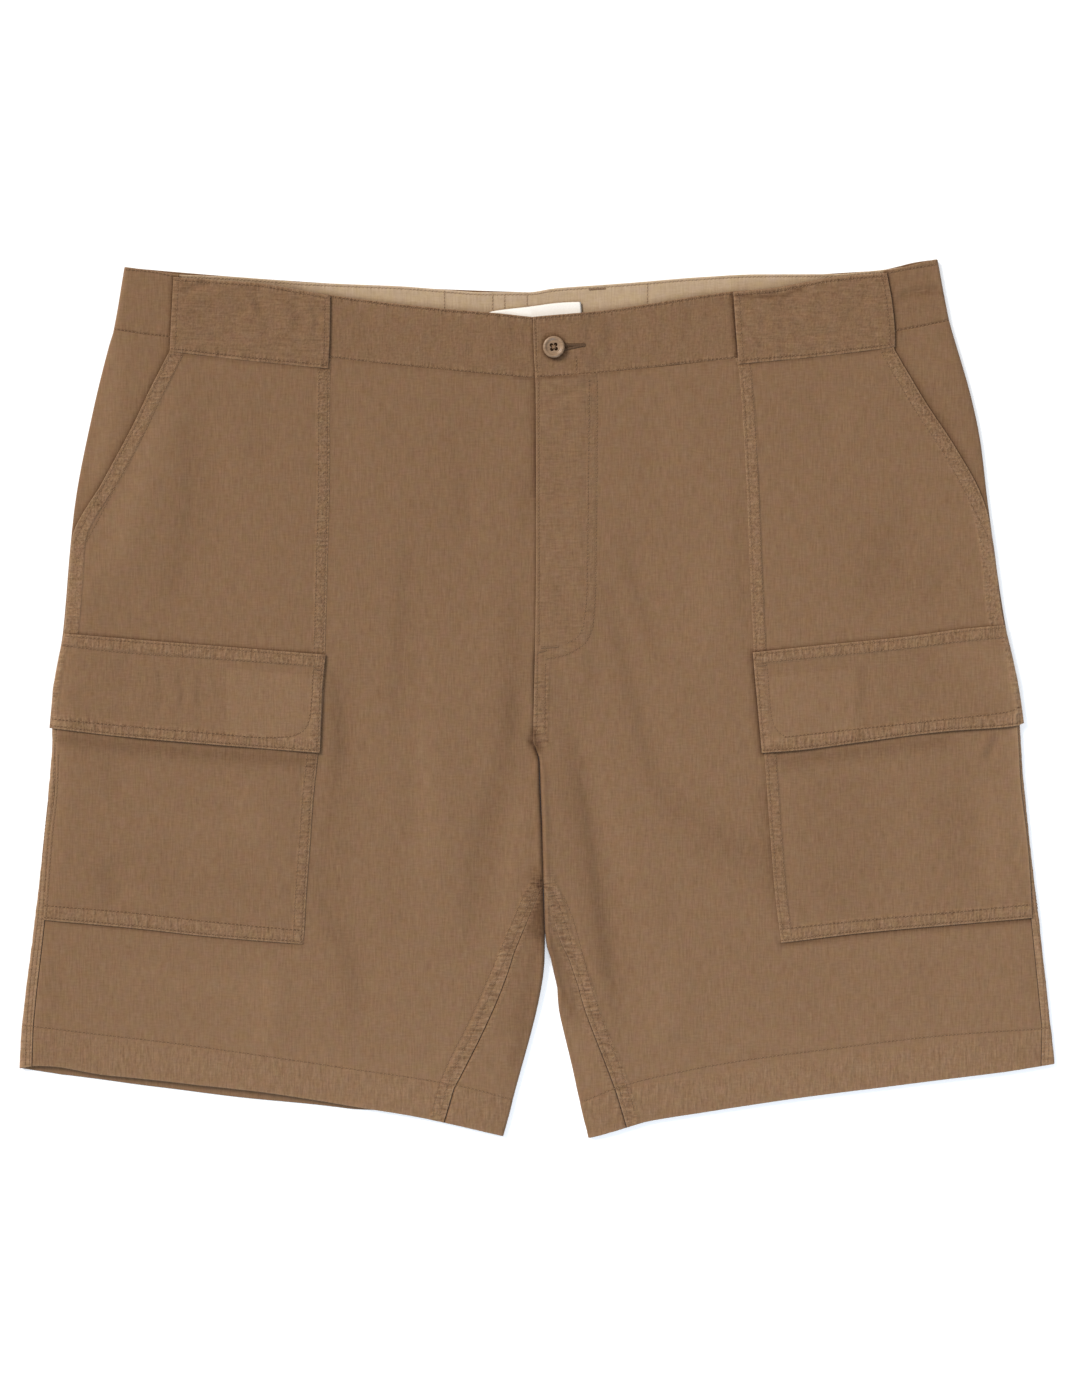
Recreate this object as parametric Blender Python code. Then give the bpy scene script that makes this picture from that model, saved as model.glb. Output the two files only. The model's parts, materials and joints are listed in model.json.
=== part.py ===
"""Cargo shorts laid flat, front side up, on a surface.

Metres, +Z up. +X is towards the wearer's left side, +Y towards the waist.
The origin is the middle of the footprint, at the surface the shorts lie on.

The garment is a flattened tube of cloth. Each leg is described by stations,
which are lines across the leg from the side fold to the inner leg. The back
cloth lies on the surface, rolls up round the folds and meets the front cloth
at the seams. Patches, flaps and belt loops are made from the points of the
front cloth, moved out by whole layers.
"""

import math
from collections import namedtuple

import bmesh
import bpy
from mathutils import Vector

MM = 0.001

# ---- driving sizes, in millimetres -------------------------------------------------
CLOTH = 1.2          # thickness of one layer with its turned-in edges
HALF = CLOTH / 2
GAP = 0.3            # space between pieces, at seams and between layers
LAYER = CLOTH + GAP  # one layer up
FACING = 1.0         # thickness of the back waistband's inner side
LABEL = 0.6
LOFT = 2.5           # height of the front cloth's middle over the back cloth's
BAND_LOFT = 3.4      # the same at the waistband, which holds more layers
BACK_SEAM_X = -2.6   # centre-back seam
FLAP_PROUD = 1.0     # how far the flap's outer end stands out past the side fold
FLY_OVERLAP = 1.5    # how much higher the overlapping side lies at the fly
FLY_WIDTH = 40.0     # the overlap's height has died away this far from the fly edge
BUTTON_AT = (10.9, 228.3)
BUTTON_R = 7.1
BUTTON_T = 2.8
HOLE_R = 0.85
HOLE_PITCH = 2.7

# ---- stations ----------------------------------------------------------------------
# side, edge, inner: points on the side fold, on the pockets' inner edge and on the
# centre line or the inner-leg fold.  mouth: from the side fold to the slanted pocket
# mouth, or to the side margin below it.  side_wrap, inner_wrap: how far the back
# cloth comes over the fold on to the front.  rows: mesh rows down to this station.
Station = namedtuple(
    "Station",
    "name rows side_x side_y edge_x edge_y inner_x inner_y mouth side_wrap inner_wrap",
)
RIGHT = [
    Station("band_top", 0, -267.8, 280.8, -133.9, 262.6, 15.0, 245.1, 32.8, 0, 0),
    Station("waist", 2, -275.0, 239.2, -133.9, 222.3, 15.0, 207.7, 36.4, 0, 0),
    Station("loop_foot", 1, -277.8, 229.8, -134.6, 214.2, 15.0, 199.9, 39.0, 0, 0),
    Station("mouth_mid", 2, -288.9, 184.6, -134.6, 169.7, 15.0, 157.3, 28.9, 0, 0),
    Station("mouth_low", 2, -299.7, 129.4, -135.2, 115.7, 13.7, 104.7, 11.1, 0, 0),
    Station("mouth_end", 1, -302.9, 101.4, -135.9, 88.4, 11.7, 78.0, 3.6, 0, 0),
    Station("flap_top", 2, -308.1, 42.3, -137.2, 28.9, -1.6, 20.2, 3.9, 0, 0),
    Station("pocket_top", 1, -312.0, 20.3, -138.6, 7.0, -2.1, -2.5, 4.0, 0, 0),
    Station("crotch", 1, -314.9, 1.3, -139.8, -13.7, -2.6, -24.7, 4.2, 0, 0),
    Station("flap_edge", 1, -314.6, -18.9, -141.1, -35.1, -1.2, -42.9, 4.5, 0, 0),
    Station("inseam_top", 3, -320.8, -95.6, -148.5, -111.8, 3.2, -119.0, 9.1, 4.6, 0),
    Station("pocket_foot", 2, -326.0, -143.7, -151.8, -159.4, 4.6, -166.4, 10.4, 6.2, 20.5),
    Station("hem_stitch", 3, -334.4, -212.6, -154.7, -235.3, -16.3, -261.3, 11.4, 7.2, 39.0),
    Station("hem", 1, -336.1, -237.3, -156.0, -257.0, -22.4, -284.2, 12.3, 8.0, 39.5),
]
LEFT = [
    Station("band_top", 0, 260.0, 284.0, 127.4, 263.9, -1.3, 247.0, 32.5, 0, 0),
    Station("waist", 2, 267.8, 245.0, 128.7, 222.3, -1.3, 209.3, 35.1, 0, 0),
    Station("loop_foot", 1, 270.4, 236.0, 130.0, 217.1, -1.0, 202.2, 38.0, 0, 0),
    Station("mouth_mid", 2, 282.7, 193.0, 132.6, 173.6, -0.7, 158.6, 28.0, 0, 0),
    Station("mouth_low", 2, 288.0, 167.1, 134.6, 148.2, -0.7, 133.3, 16.9, 0, 0),
    Station("mouth_end", 1, 292.5, 130.0, 136.5, 112.5, -0.7, 98.2, 3.6, 0, 0),
    Station("flap_top", 3, 304.2, 48.4, 140.4, 30.6, -1.6, 20.2, 3.9, 0, 0),
    Station("pocket_top", 1, 309.0, 26.0, 141.9, 8.9, -2.1, -2.5, 4.0, 0, 0),
    Station("crotch", 1, 313.0, 5.9, 143.3, -11.1, -2.6, -24.7, 4.2, 0, 0),
    Station("flap_edge", 1, 313.4, -15.3, 146.3, -35.1, 0.6, -42.9, 4.5, 0, 0),
    Station("inseam_top", 3, 320.1, -94.9, 153.4, -111.2, 5.0, -119.0, 9.1, 4.0, 0),
    Station("pocket_foot", 2, 325.7, -141.7, 158.6, -158.6, 9.1, -166.4, 10.0, 4.6, 11.5),
    Station("hem_stitch", 3, 333.5, -213.2, 160.6, -230.8, 30.9, -262.0, 11.4, 5.2, 22.0),
    Station("hem", 1, 336.1, -237.3, 160.6, -260.3, 34.8, -284.2, 12.3, 8.5, 24.5),
]

# Where the back cloth's lines leave the front's: it reaches higher at the waist.
# edge_rise is how much higher at the pockets' edge, inner_y is where it ends.
BackLine = namedtuple("BackLine", "name edge_rise inner_y")
BACK_RIGHT = [
    BackLine("band_top", 7.8, 264.6),
    BackLine("waist", 8.2, 225.6),
    BackLine("loop_foot", 8.0, 217.5),
    BackLine("mouth_mid", 7.0, 172.0),
    BackLine("mouth_low", 5.0, 115.0),
    BackLine("mouth_end", 4.0, 86.0),
    BackLine("flap_top", 1.5, 23.0),
]
BACK_LEFT = [
    BackLine("band_top", 11.7, 264.6),
    BackLine("waist", 11.0, 225.6),
    BackLine("loop_foot", 10.5, 217.5),
    BackLine("mouth_mid", 8.0, 172.0),
    BackLine("mouth_low", 6.5, 145.0),
    BackLine("mouth_end", 4.5, 106.0),
    BackLine("flap_top", 1.5, 23.0),
]

# Lines that hang lower over a stretch: depth, full between the two middle distances
# from the side fold and none outside the two outer ones.
Sag = namedtuple("Sag", "leg station cloth depth start full_from full_to stop")
SAGS = [
    Sag("left", "band_top", "front", 2.6, 14, 38, 52, 110),
    Sag("left", "band_top", "back", 3.2, 14, 40, 105, 175),
    Sag("right", "hem", "back", 6.0, 0, 30, 110, 240),
]

# The largest folds of the front cloth: a soft ridge or trough along a line.
Fold = namedtuple("Fold", "name x0 y0 x1 y1 width height")
FOLDS = [
    Fold("left thigh upper", 47, 103, 80, 12, 15, -0.45),
    Fold("left thigh lower", 36, 38, 118, -90, 18, -0.50),
    Fold("left inner leg", 24, -60, 40, -180, 15, -0.45),
    Fold("left thigh crown", 100, 60, 128, -60, 26, 0.55),
    Fold("left hip", 216, 160, 203, 66, 24, -0.40),
    Fold("right hip", -232, 190, -230, 60, 22, -0.45),
    Fold("right thigh", -90, 110, -86, 20, 18, -0.40),
    Fold("right thigh crown", -60, 30, -66, -130, 28, 0.50),
    Fold("right inner leg", -18, 10, -22, -60, 14, -0.35),
]

# ---- materials ---------------------------------------------------------------------
Finish = namedtuple("Finish", "name colour roughness")
SHELL = Finish("shell_cloth", (0.238, 0.141, 0.079), 0.92)
TAN = Finish("facing_cloth", (0.508, 0.352, 0.223), 0.92)
OFF_WHITE = Finish("label_cloth", (0.855, 0.791, 0.716), 0.85)
HORN = Finish("button_resin", (0.260, 0.160, 0.095), 0.40)


def clear_scene():
    for obj in list(bpy.data.objects):
        bpy.data.objects.remove(obj, do_unlink=True)
    for mesh in list(bpy.data.meshes):
        bpy.data.meshes.remove(mesh)


def material(finish):
    found = bpy.data.materials.get(finish.name)
    if found:
        return found
    made = bpy.data.materials.new(finish.name)
    made.use_nodes = True
    shader = made.node_tree.nodes["Principled BSDF"]
    shader.inputs["Base Color"].default_value = (*finish.colour, 1.0)
    shader.inputs["Roughness"].default_value = finish.roughness
    shader.inputs["Metallic"].default_value = 0.0
    made.diffuse_color = (*finish.colour, 1.0)
    return made


# ---- small maths -------------------------------------------------------------------
def smooth(low, high, x):
    """0 below low, 1 above high, and a soft step between them (low may exceed high)."""
    t = min(max((x - low) / (high - low), 0.0), 1.0)
    return t * t * (3 - 2 * t)


def monotone(xs, ys, x):
    """A smooth curve through (xs, ys) that doesn't overshoot, read at x."""
    n = len(xs)
    step = [xs[i + 1] - xs[i] for i in range(n - 1)]
    rise = [(ys[i + 1] - ys[i]) / step[i] for i in range(n - 1)]
    slope = [rise[0]] + [0.0] * (n - 2) + [rise[-1]]
    for i in range(1, n - 1):
        if rise[i - 1] * rise[i] > 0:
            slope[i] = 2 * rise[i - 1] * rise[i] / (rise[i - 1] + rise[i])
    i = min(max(sum(1 for v in xs if v <= x) - 1, 0), n - 2)
    t = (x - xs[i]) / step[i]
    return (
        ys[i] * (1 + 2 * t) * (1 - t) ** 2
        + step[i] * slope[i] * t * (1 - t) ** 2
        + ys[i + 1] * t * t * (3 - 2 * t)
        + step[i] * slope[i + 1] * t * t * (t - 1)
    )


def fold_height(x, y):
    """What the large folds add to the front cloth's height at (x, y)."""
    total = 0.0
    for f in FOLDS:
        dx, dy = f.x1 - f.x0, f.y1 - f.y0
        long = math.hypot(dx, dy)
        along = ((x - f.x0) * dx + (y - f.y0) * dy) / long
        across = ((x - f.x0) * dy - (y - f.y0) * dx) / long
        ends = smooth(-0.3 * long, 0.3 * long, along) * smooth(1.3 * long, 0.7 * long, along)
        total += f.height * ends * math.exp(-((across / f.width) ** 2))
    return total


def loft(x, y, laps_over=False):
    """Height of the front cloth's middle over the back cloth's, at (x, y)."""
    band = smooth(150, 225, y)
    base = LOFT + (BAND_LOFT - LOFT) * band
    base += 0.5 * smooth(200, 225, y) * math.exp(-((x / 75) ** 2))   # room for the label
    dip = math.exp(-(((x + 2) / 24) ** 2) - ((y + 34) / 26) ** 2)     # the crotch sinks
    base += fold_height(x, y) * (1 - dip) - 0.75 * dip
    if laps_over:
        base += FLY_OVERLAP * smooth(FLY_WIDTH, 26, x) * smooth(-12, 18, y)
    return base


# ---- lines across a leg ------------------------------------------------------------
class Line:
    """One line across a leg: a curve through the side, edge and inner points."""

    def __init__(self, side, edge, inner):
        self.points = (side, edge, inner)
        first = math.dist(side, edge)
        self.width = first + math.dist(edge, inner)
        self.edge_at = first

    def at(self, d):
        t, e = d / self.width, self.edge_at / self.width
        weights = (
            (t - e) * (t - 1) / e,
            t * (t - 1) / (e * (e - 1)),
            t * (t - e) / (1 - e),
        )
        return tuple(sum(w * p[k] for w, p in zip(weights, self.points)) for k in (0, 1))


def rolled(a, r):
    """Rolling round a fold of radius r: a is measured along the cloth from the fold's
    outermost point, plus above and minus below. Gives the distance in from the fold,
    the height in radii from -1 to 1, and the outward normal as (inwards, up)."""
    quarter = math.pi * r / 2
    if a >= quarter:
        return r + a - quarter, 1.0, (0.0, 1.0)
    if a <= -quarter:
        return r - a - quarter, -1.0, (0.0, -1.0)
    turn = a / r
    return r * (1 - math.cos(turn)), math.sin(turn), (-math.cos(turn), math.sin(turn))


class Row:
    """A station, or a line between two stations, with its front and back lines."""

    def __init__(self, leg, values, back_edge_y, back_inner, sags):
        self.leg = leg
        self.sags = sags
        self.laps_over = leg == "left"
        (self.side_x, self.side_y, self.edge_x, self.edge_y, self.inner_x, self.inner_y,
         self.mouth, self.side_wrap, self.inner_wrap) = values
        side = (self.side_x, self.side_y)
        self.front = Line(side, (self.edge_x, self.edge_y), (self.inner_x, self.inner_y))
        self.back = Line(side, (self.edge_x, back_edge_y), back_inner)
        self.side_r = loft(*side, self.laps_over) / 2
        self.folded = self.inner_y < -30
        self.inner_r = loft(self.inner_x, self.inner_y) / 2 if self.folded else 0.0

    def point(self, where, a, upper):
        """(middle point, outward normal) of the cloth: where is side or inner, a is as
        in rolled, and upper picks the front line or the back line for its flat run."""
        r = self.side_r if where == "side" else self.inner_r
        d, high, (inwards, up) = rolled(a, r)
        line = self.front if upper else self.back
        at = d if where == "side" else line.width - d
        x, y = line.at(at)
        for share, sag in self.sags:
            if (sag.cloth == "front") == upper:
                y -= (share * sag.depth * smooth(sag.start, sag.full_from, at)
                      * smooth(sag.stop, sag.full_to, at))
        ahead, behind = line.at(at + 0.5), line.at(at - 0.5)
        along = Vector((ahead[0] - behind[0], ahead[1] - behind[1], 0)).normalized()
        if where == "inner":
            along = -along
        if r:
            z = HALF + (r if abs(high) < 1 else loft(x, y, self.laps_over) / 2) * (1 + high)
        else:
            z = HALF + (loft(x, y, self.laps_over) if upper else 0.0)
        return Vector((x, y, z)), along * inwards + Vector((0, 0, up if upper or r else -1.0))


def rows_of(leg):
    """All rows of a leg, and the row number of each named station."""
    stations, backs = (RIGHT, BACK_RIGHT) if leg == "right" else (LEFT, BACK_LEFT)
    backs = {b.name: b for b in backs}
    down = [-s.side_y for s in stations]
    made, place = [], {}

    def back_of(s):
        b = backs.get(s.name)
        if b:
            return s.edge_y + b.edge_rise, BACK_SEAM_X, b.inner_y
        return s.edge_y, s.inner_x, s.inner_y

    behind = [back_of(s) for s in stations]
    for i, s in enumerate(stations):
        for k in range(1, s.rows + 1) if i else (0,):
            t = k / s.rows if i else 0.0
            v = down[i] if not i else down[i - 1] + (down[i] - down[i - 1]) * t
            curved = [monotone(down, [q[c] for q in stations], v) for c in (2, 3, 4, 5)]
            before = stations[i - 1] if i else s
            straight = [before[c] + (s[c] - before[c]) * t for c in (6, 7, 8, 9, 10)]
            low, high = behind[i - 1] if i else behind[i], behind[i]
            be, bx, by = (low[c] + (high[c] - low[c]) * t for c in range(3))
            rise = be - (before.edge_y + (s.edge_y - before.edge_y) * t)
            sags = [(share, sag) for sag in SAGS if sag.leg == leg
                    for name, share in ((s.name, t if i else 1.0), (before.name, 1 - t if i else 0.0))
                    if sag.station == name and share > 0]
            made.append(Row(leg, (*curved, *straight), curved[3] + rise, (bx, by), sags))
        place[s.name] = len(made) - 1
    return made, place


# ---- grids of the cloth's middle surface -------------------------------------------
TO_EDGE = 5      # columns from the mouth to the pockets' edge
TO_INNER = 5     # columns from there to the inner margin
MOUTH_COL = 3
EDGE_COL = MOUTH_COL + TO_EDGE
MARGINS = (0.0, 1.3, 2.8, 12.0, 27.0)   # columns in from the inner seam


def front_row(row):
    """Points of the front cloth along a row, from the side seam to the inner seam."""
    r = row.side_r
    quarter = math.pi * r / 2
    seam = quarter + row.side_wrap - r if row.side_wrap > r else (
        row.side_wrap / r * quarter)
    flat = max(quarter, seam + 2.4)
    mouth = quarter + row.mouth - r
    points = [row.point("side", a, True) for a in (seam, (seam + flat) / 2, flat, max(mouth, flat + 1.2))]
    start = r + max(mouth, flat + 1.2) - quarter
    edge = row.front.edge_at
    for k in range(1, TO_EDGE + 1):
        points.append(row.point("side", quarter - r + start + (edge - start) * k / TO_EDGE, True))
    inner_quarter = math.pi * row.inner_r / 2
    inner_seam = 0.0
    if row.inner_wrap:
        inner_seam = inner_quarter + row.inner_wrap - row.inner_r
    margins = [inner_seam + m for m in MARGINS]
    margins[2] = max(margins[2], inner_quarter)
    margins[1] = (margins[0] + margins[2]) / 2
    stop = row.front.width - (row.inner_r + margins[-1] - inner_quarter)
    for k in range(1, TO_INNER):
        points.append(row.point("side", quarter - r + edge + (stop - edge) * k / TO_INNER, True))
    points += [row.point("inner", a, True) for a in reversed(margins)]
    return points


def back_row(row):
    """Points of the back cloth, from the side seam round under to the inner seam."""
    def roll(where, r, wrap):
        quarter = math.pi * r / 2
        seam = quarter + wrap - r if wrap > r else (wrap / r * quarter if r else 0.0)
        end = -max(quarter, 2.4)
        start = min(seam - 0.5, max(quarter, 0.0)) if seam > quarter else seam - 0.5
        steps = [seam] + [start + (end - start) * k / 5 for k in range(6)]
        return [row.point(where, a, a > 0) for a in steps]

    points = roll("side", row.side_r, row.side_wrap)
    quarter, r = math.pi * row.side_r / 2, row.side_r
    first = r + max(quarter, 2.4) - quarter
    last = row.back.width - 3.0
    for k in range(1, 4):
        d = first + (last - first) * k / 4
        points.append(row.point("side", -(d - r + quarter), False))
    return points + roll("inner", row.inner_r, row.inner_wrap)[::-1]


# ---- solids ------------------------------------------------------------------------
def nudged(grid, top=0.0, bottom=0.0, first=0.0, last=0.0):
    """A copy of the grid with its outer rows or columns drawn in, for a seam's gap."""
    grid = [[(p.copy(), n.copy()) for p, n in line] for line in grid]

    def draw(target, other, by):
        if by:
            target[0].xyz += (other[0] - target[0]).normalized() * by

    for c in range(len(grid[0])):
        draw(grid[0][c], grid[1][c], top)
        draw(grid[-1][c], grid[-2][c], bottom)
    for line in grid:
        draw(line[0], line[1], first)
        draw(line[-1], line[-2], last)
    return grid


def solid(name, grid, low, high, finish, keep=None):
    """A closed layer of cloth over a grid: from low to high along the normals.
    keep picks the cells, by (row, column), that the piece covers."""
    rows, cols = len(grid), len(grid[0])
    cells = [(i, j) for i in range(rows - 1) for j in range(cols - 1)
             if keep is None or keep(i, j)]
    bm = bmesh.new()
    made = {}

    def vert(i, j, level):
        key = (i, j, level)
        if key not in made:
            p, n = grid[i][j]
            made[key] = bm.verts.new((p + n * (high if level else low)) * MM)
        return made[key]

    border = {}
    for i, j in cells:
        ring = [(i, j), (i + 1, j), (i + 1, j + 1), (i, j + 1)]
        for a, b, c in ((0, 1, 2), (0, 2, 3)):
            for level, order in ((1, (a, b, c)), (0, (c, b, a))):
                bm.faces.new([vert(*ring[k], level) for k in order])
        for a, b in zip(ring, ring[1:] + ring[:1]):
            if (b, a) in border:
                del border[(b, a)]
            else:
                border[(a, b)] = True
    for a, b in border:
        bm.faces.new([vert(*b, 1), vert(*a, 1), vert(*a, 0)])
        bm.faces.new([vert(*b, 1), vert(*a, 0), vert(*b, 0)])
    if bm.calc_volume(signed=True) < 0:
        bmesh.ops.reverse_faces(bm, faces=bm.faces)
    bm.normal_update()
    return finished(name, bm, finish)


def finished(name, bm, finish):
    mesh = bpy.data.meshes.new(name)
    bm.to_mesh(mesh)
    bm.free()
    mesh.materials.append(material(finish))
    mesh.shade_smooth()
    mesh.set_sharp_from_angle(angle=math.radians(35))
    obj = bpy.data.objects.new(name, mesh)
    bpy.context.scene.collection.objects.link(obj)
    return obj


def make_leg(leg):
    rows, at = rows_of(leg)
    grid = [front_row(row) for row in rows]
    back = [back_row(row) for row in rows]
    seam = GAP / 2
    waist = at["waist"]
    solid(f"front_{leg}", nudged(grid[waist:], top=seam, first=seam, last=seam),
          -HALF, HALF, SHELL)
    solid(f"back_{leg}", nudged(back[waist:], top=seam, first=seam, last=seam),
          -HALF, HALF, SHELL)

    one, two = (HALF + GAP, HALF + GAP + CLOTH), (HALF + GAP + LAYER, HALF + GAP + LAYER + CLOTH)
    foot, mouth_end = at["pocket_top"], at["mouth_end"]
    patch = nudged(grid[:foot + 1], bottom=seam)
    solid(f"hand_pocket_{leg}", patch, *one, SHELL,
          lambda i, j: waist <= i and j < EDGE_COL
          and (MOUTH_COL if i < mouth_end else 1) <= j)
    pocket = grid[foot:at["pocket_foot"] + 1]
    solid(f"cargo_pocket_{leg}", nudged([line[1:EDGE_COL + 1] for line in pocket], top=seam),
          *one, SHELL)
    flap = [line[1:EDGE_COL + 1] for line in grid[at["flap_top"]:at["flap_edge"] + 1]]
    solid(f"cargo_flap_{leg}", nudged(flap, first=-FLAP_PROUD), *two, SHELL)
    loop = grid[:at["loop_foot"] + 1]
    solid(f"belt_loop_{leg}", [line[MOUTH_COL:EDGE_COL + 1] for line in loop], *two, SHELL)
    return rows, waist


def make_waistband(right, left, waist):
    seam = GAP / 2
    under_loop = 3.0    # the front and back bands join this far under the loop's end
    back_half, facing_half = {}, {}
    for leg, rows in (("right", right), ("left", left)):
        band = rows[:waist + 1]
        front = []
        for row in band:
            quarter, r = math.pi * row.side_r / 2, row.side_r
            start, stop = row.mouth + under_loop, row.front.width - 45.0
            line = [row.point("side", quarter - r + start + (stop - start) * k / 6, True)
                    for k in range(7)]
            line += [row.point("inner", a, True) for a in (30.0, 20.0, 12.0, 0.0)]
            front.append(line)
        solid(f"waistband_front_{leg}", nudged(front, bottom=seam, first=seam, last=0.0),
              -HALF, HALF, SHELL)
        back_half[leg], facing_half[leg] = [], []
        for row in band:
            quarter, r = math.pi * row.side_r / 2, row.side_r
            join = quarter + row.mouth + under_loop - r
            turn = [join, (2 * join + quarter) / 3, (join + 2 * quarter) / 3]
            turn += [quarter * (1 - k / 2.5) for k in range(6)]
            line = [row.point("side", a, a > 0) for a in turn]
            width = row.back.width
            line += [row.point("side", -(r + (width - r) * k / 6 - r + quarter), False)
                     for k in range(1, 7)]
            back_half[leg].append(line)
            start = 14.0
            facing_half[leg].append(
                [row.point("side", -(start + (width - start) * k / 6 - r + quarter), False)
                 for k in range(7)])

    def joined(half):
        lines = []
        for a, b in zip(half["right"], half["left"]):
            middle = a[-1][0].lerp(b[-1][0], 0.5)
            lines.append(a[:-1] + [(middle, a[-1][1])] + b[:-1][::-1])
        return lines

    solid("waistband_back", nudged(joined(back_half), bottom=seam, first=seam, last=seam),
          -HALF, HALF, SHELL)
    # The facing lies inside, on the back band: its grid's normals point down.
    inside = nudged(joined(facing_half), top=1.0, bottom=seam)
    solid("waistband_back_facing", inside, -(HALF + GAP + FACING), -(HALF + GAP), TAN)


def make_label():
    """A blank woven label, flat on the facing, its lower part behind the front band."""
    lines = (((-28.0, 252.2), (0.0, 255.1), (28.3, 258.2)),
             ((-26.0, 230.0), (2.0, 233.0), (30.5, 236.0)))
    z = CLOTH + GAP + FACING + GAP
    up = Vector((0, 0, 1))
    grid = [[(Vector((x, y, z)), up) for x, y in line] for line in lines]
    solid("label", grid, 0.0, LABEL, OFF_WHITE)


def make_button():
    """A turned button with a raised rim, a dished middle and four holes."""
    x, y = BUTTON_AT
    base = CLOTH + loft(x, y, True) + GAP
    profile = (  # radius, height
        (0.0, 0.0), (5.2, 0.0), (6.6, 0.5), (BUTTON_R, 1.3), (6.9, 2.2), (6.3, BUTTON_T),
        (5.5, BUTTON_T), (4.7, 2.2), (4.2, 1.8), (0.0, 1.7),
    )
    bm = bmesh.new()
    steps = 32
    rings = []
    for r, z in profile:
        if r == 0.0:
            rings.append([bm.verts.new((0, 0, z * MM))])
            continue
        rings.append([
            bm.verts.new((r * MM * math.cos(2 * math.pi * k / steps),
                          r * MM * math.sin(2 * math.pi * k / steps), z * MM))
            for k in range(steps)])
    for a, b in zip(rings, rings[1:]):
        for k in range(steps):
            m = (k + 1) % steps
            if len(a) == 1:
                bm.faces.new([a[0], b[m], b[k]])
            elif len(b) == 1:
                bm.faces.new([a[k], a[m], b[0]])
            else:
                bm.faces.new([a[k], a[m], b[m], b[k]])
    bmesh.ops.recalc_face_normals(bm, faces=bm.faces)
    button = finished("button", bm, HORN)
    button.location = (x * MM, y * MM, base * MM)
    bm = bmesh.new()
    for k in range(4):
        turn = math.pi / 4 + k * math.pi / 2
        made = bmesh.ops.create_cone(
            bm, cap_ends=True, segments=12, radius1=HOLE_R * MM, radius2=HOLE_R * MM, depth=8 * MM)
        bmesh.ops.translate(bm, verts=made["verts"], vec=(
            HOLE_PITCH / 2 * math.sqrt(2) * MM * math.cos(turn),
            HOLE_PITCH / 2 * math.sqrt(2) * MM * math.sin(turn), 1.4 * MM))
    cutter = finished("button_hole_cutter", bm, HORN)
    cutter.location = button.location
    cutter.hide_render = True
    cutter.display_type = "WIRE"
    holes = button.modifiers.new("holes", "BOOLEAN")
    holes.operation = "DIFFERENCE"
    holes.object = cutter


def main():
    clear_scene()
    bpy.context.scene.unit_settings.system = "METRIC"
    right, waist = make_leg("right")
    left, _ = make_leg("left")
    make_waistband(right, left, waist)
    make_label()
    make_button()


main()
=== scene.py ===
"""Looks for the cargo shorts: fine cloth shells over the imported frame, stitching, button and studio.

Cloth is worked out in millimetres and made in metres, in the frame's own axes: +X to the wearer's left
side, +Y to the waist, +Z up. Outlines and sewing lines are written in "grid" units of 0.65 mm, counted
right and down from a corner, because they were measured on a 1080 x 1378 view from straight above;
g() turns them into millimetres. The legs use the same stations as the solids.
"""

import json
import math
from collections import namedtuple

import bmesh
import bpy
import numpy as np
from mathutils import Matrix, Vector
from mathutils.bvhtree import BVHTree

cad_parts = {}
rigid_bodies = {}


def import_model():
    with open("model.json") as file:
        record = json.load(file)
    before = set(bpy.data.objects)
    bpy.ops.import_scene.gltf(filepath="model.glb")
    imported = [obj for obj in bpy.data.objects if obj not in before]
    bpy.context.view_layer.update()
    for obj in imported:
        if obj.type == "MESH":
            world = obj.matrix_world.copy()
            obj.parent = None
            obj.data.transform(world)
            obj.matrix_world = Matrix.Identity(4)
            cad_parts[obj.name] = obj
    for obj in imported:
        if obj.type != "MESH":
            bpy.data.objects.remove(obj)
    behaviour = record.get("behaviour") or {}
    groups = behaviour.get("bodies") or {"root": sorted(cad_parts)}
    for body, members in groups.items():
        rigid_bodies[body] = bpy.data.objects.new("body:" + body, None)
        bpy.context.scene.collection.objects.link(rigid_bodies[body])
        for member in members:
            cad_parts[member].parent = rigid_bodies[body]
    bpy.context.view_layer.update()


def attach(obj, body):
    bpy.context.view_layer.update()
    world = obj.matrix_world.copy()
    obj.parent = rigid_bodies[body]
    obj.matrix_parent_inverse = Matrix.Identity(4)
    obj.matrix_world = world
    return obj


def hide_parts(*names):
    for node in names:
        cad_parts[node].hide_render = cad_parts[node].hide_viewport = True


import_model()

MM = 0.001
GRID = 0.65          # mm in one grid unit
CLOTH = 1.2          # one layer of the solids
HALF = CLOTH / 2     # where the back cloth's middle lies
THIN = 0.45          # half the thickness shown
LAYER = 1.2          # one layer up
LOFT = 2.5           # the front cloth's middle over the back cloth's
BAND_LOFT = 3.4
LIFT = 0.7           # how much higher the front cloth lies away from its edges, to have room for troughs
BACK_SEAM_X = -2.6
FLY_OVERLAP = 1.5
BUTTON_AT = (10.9, 228.3)


def g(points):
    """Grid units to millimetres."""
    p = np.asarray(points, float)
    return np.stack([(p[..., 0] - 537) * GRID, (699 - p[..., 1]) * GRID], -1)


# ---- small maths -------------------------------------------------------------------
def smooth(low, high, x):
    t = np.clip((np.asarray(x, float) - low) / (high - low), 0, 1)
    return t * t * (3 - 2 * t)


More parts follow.
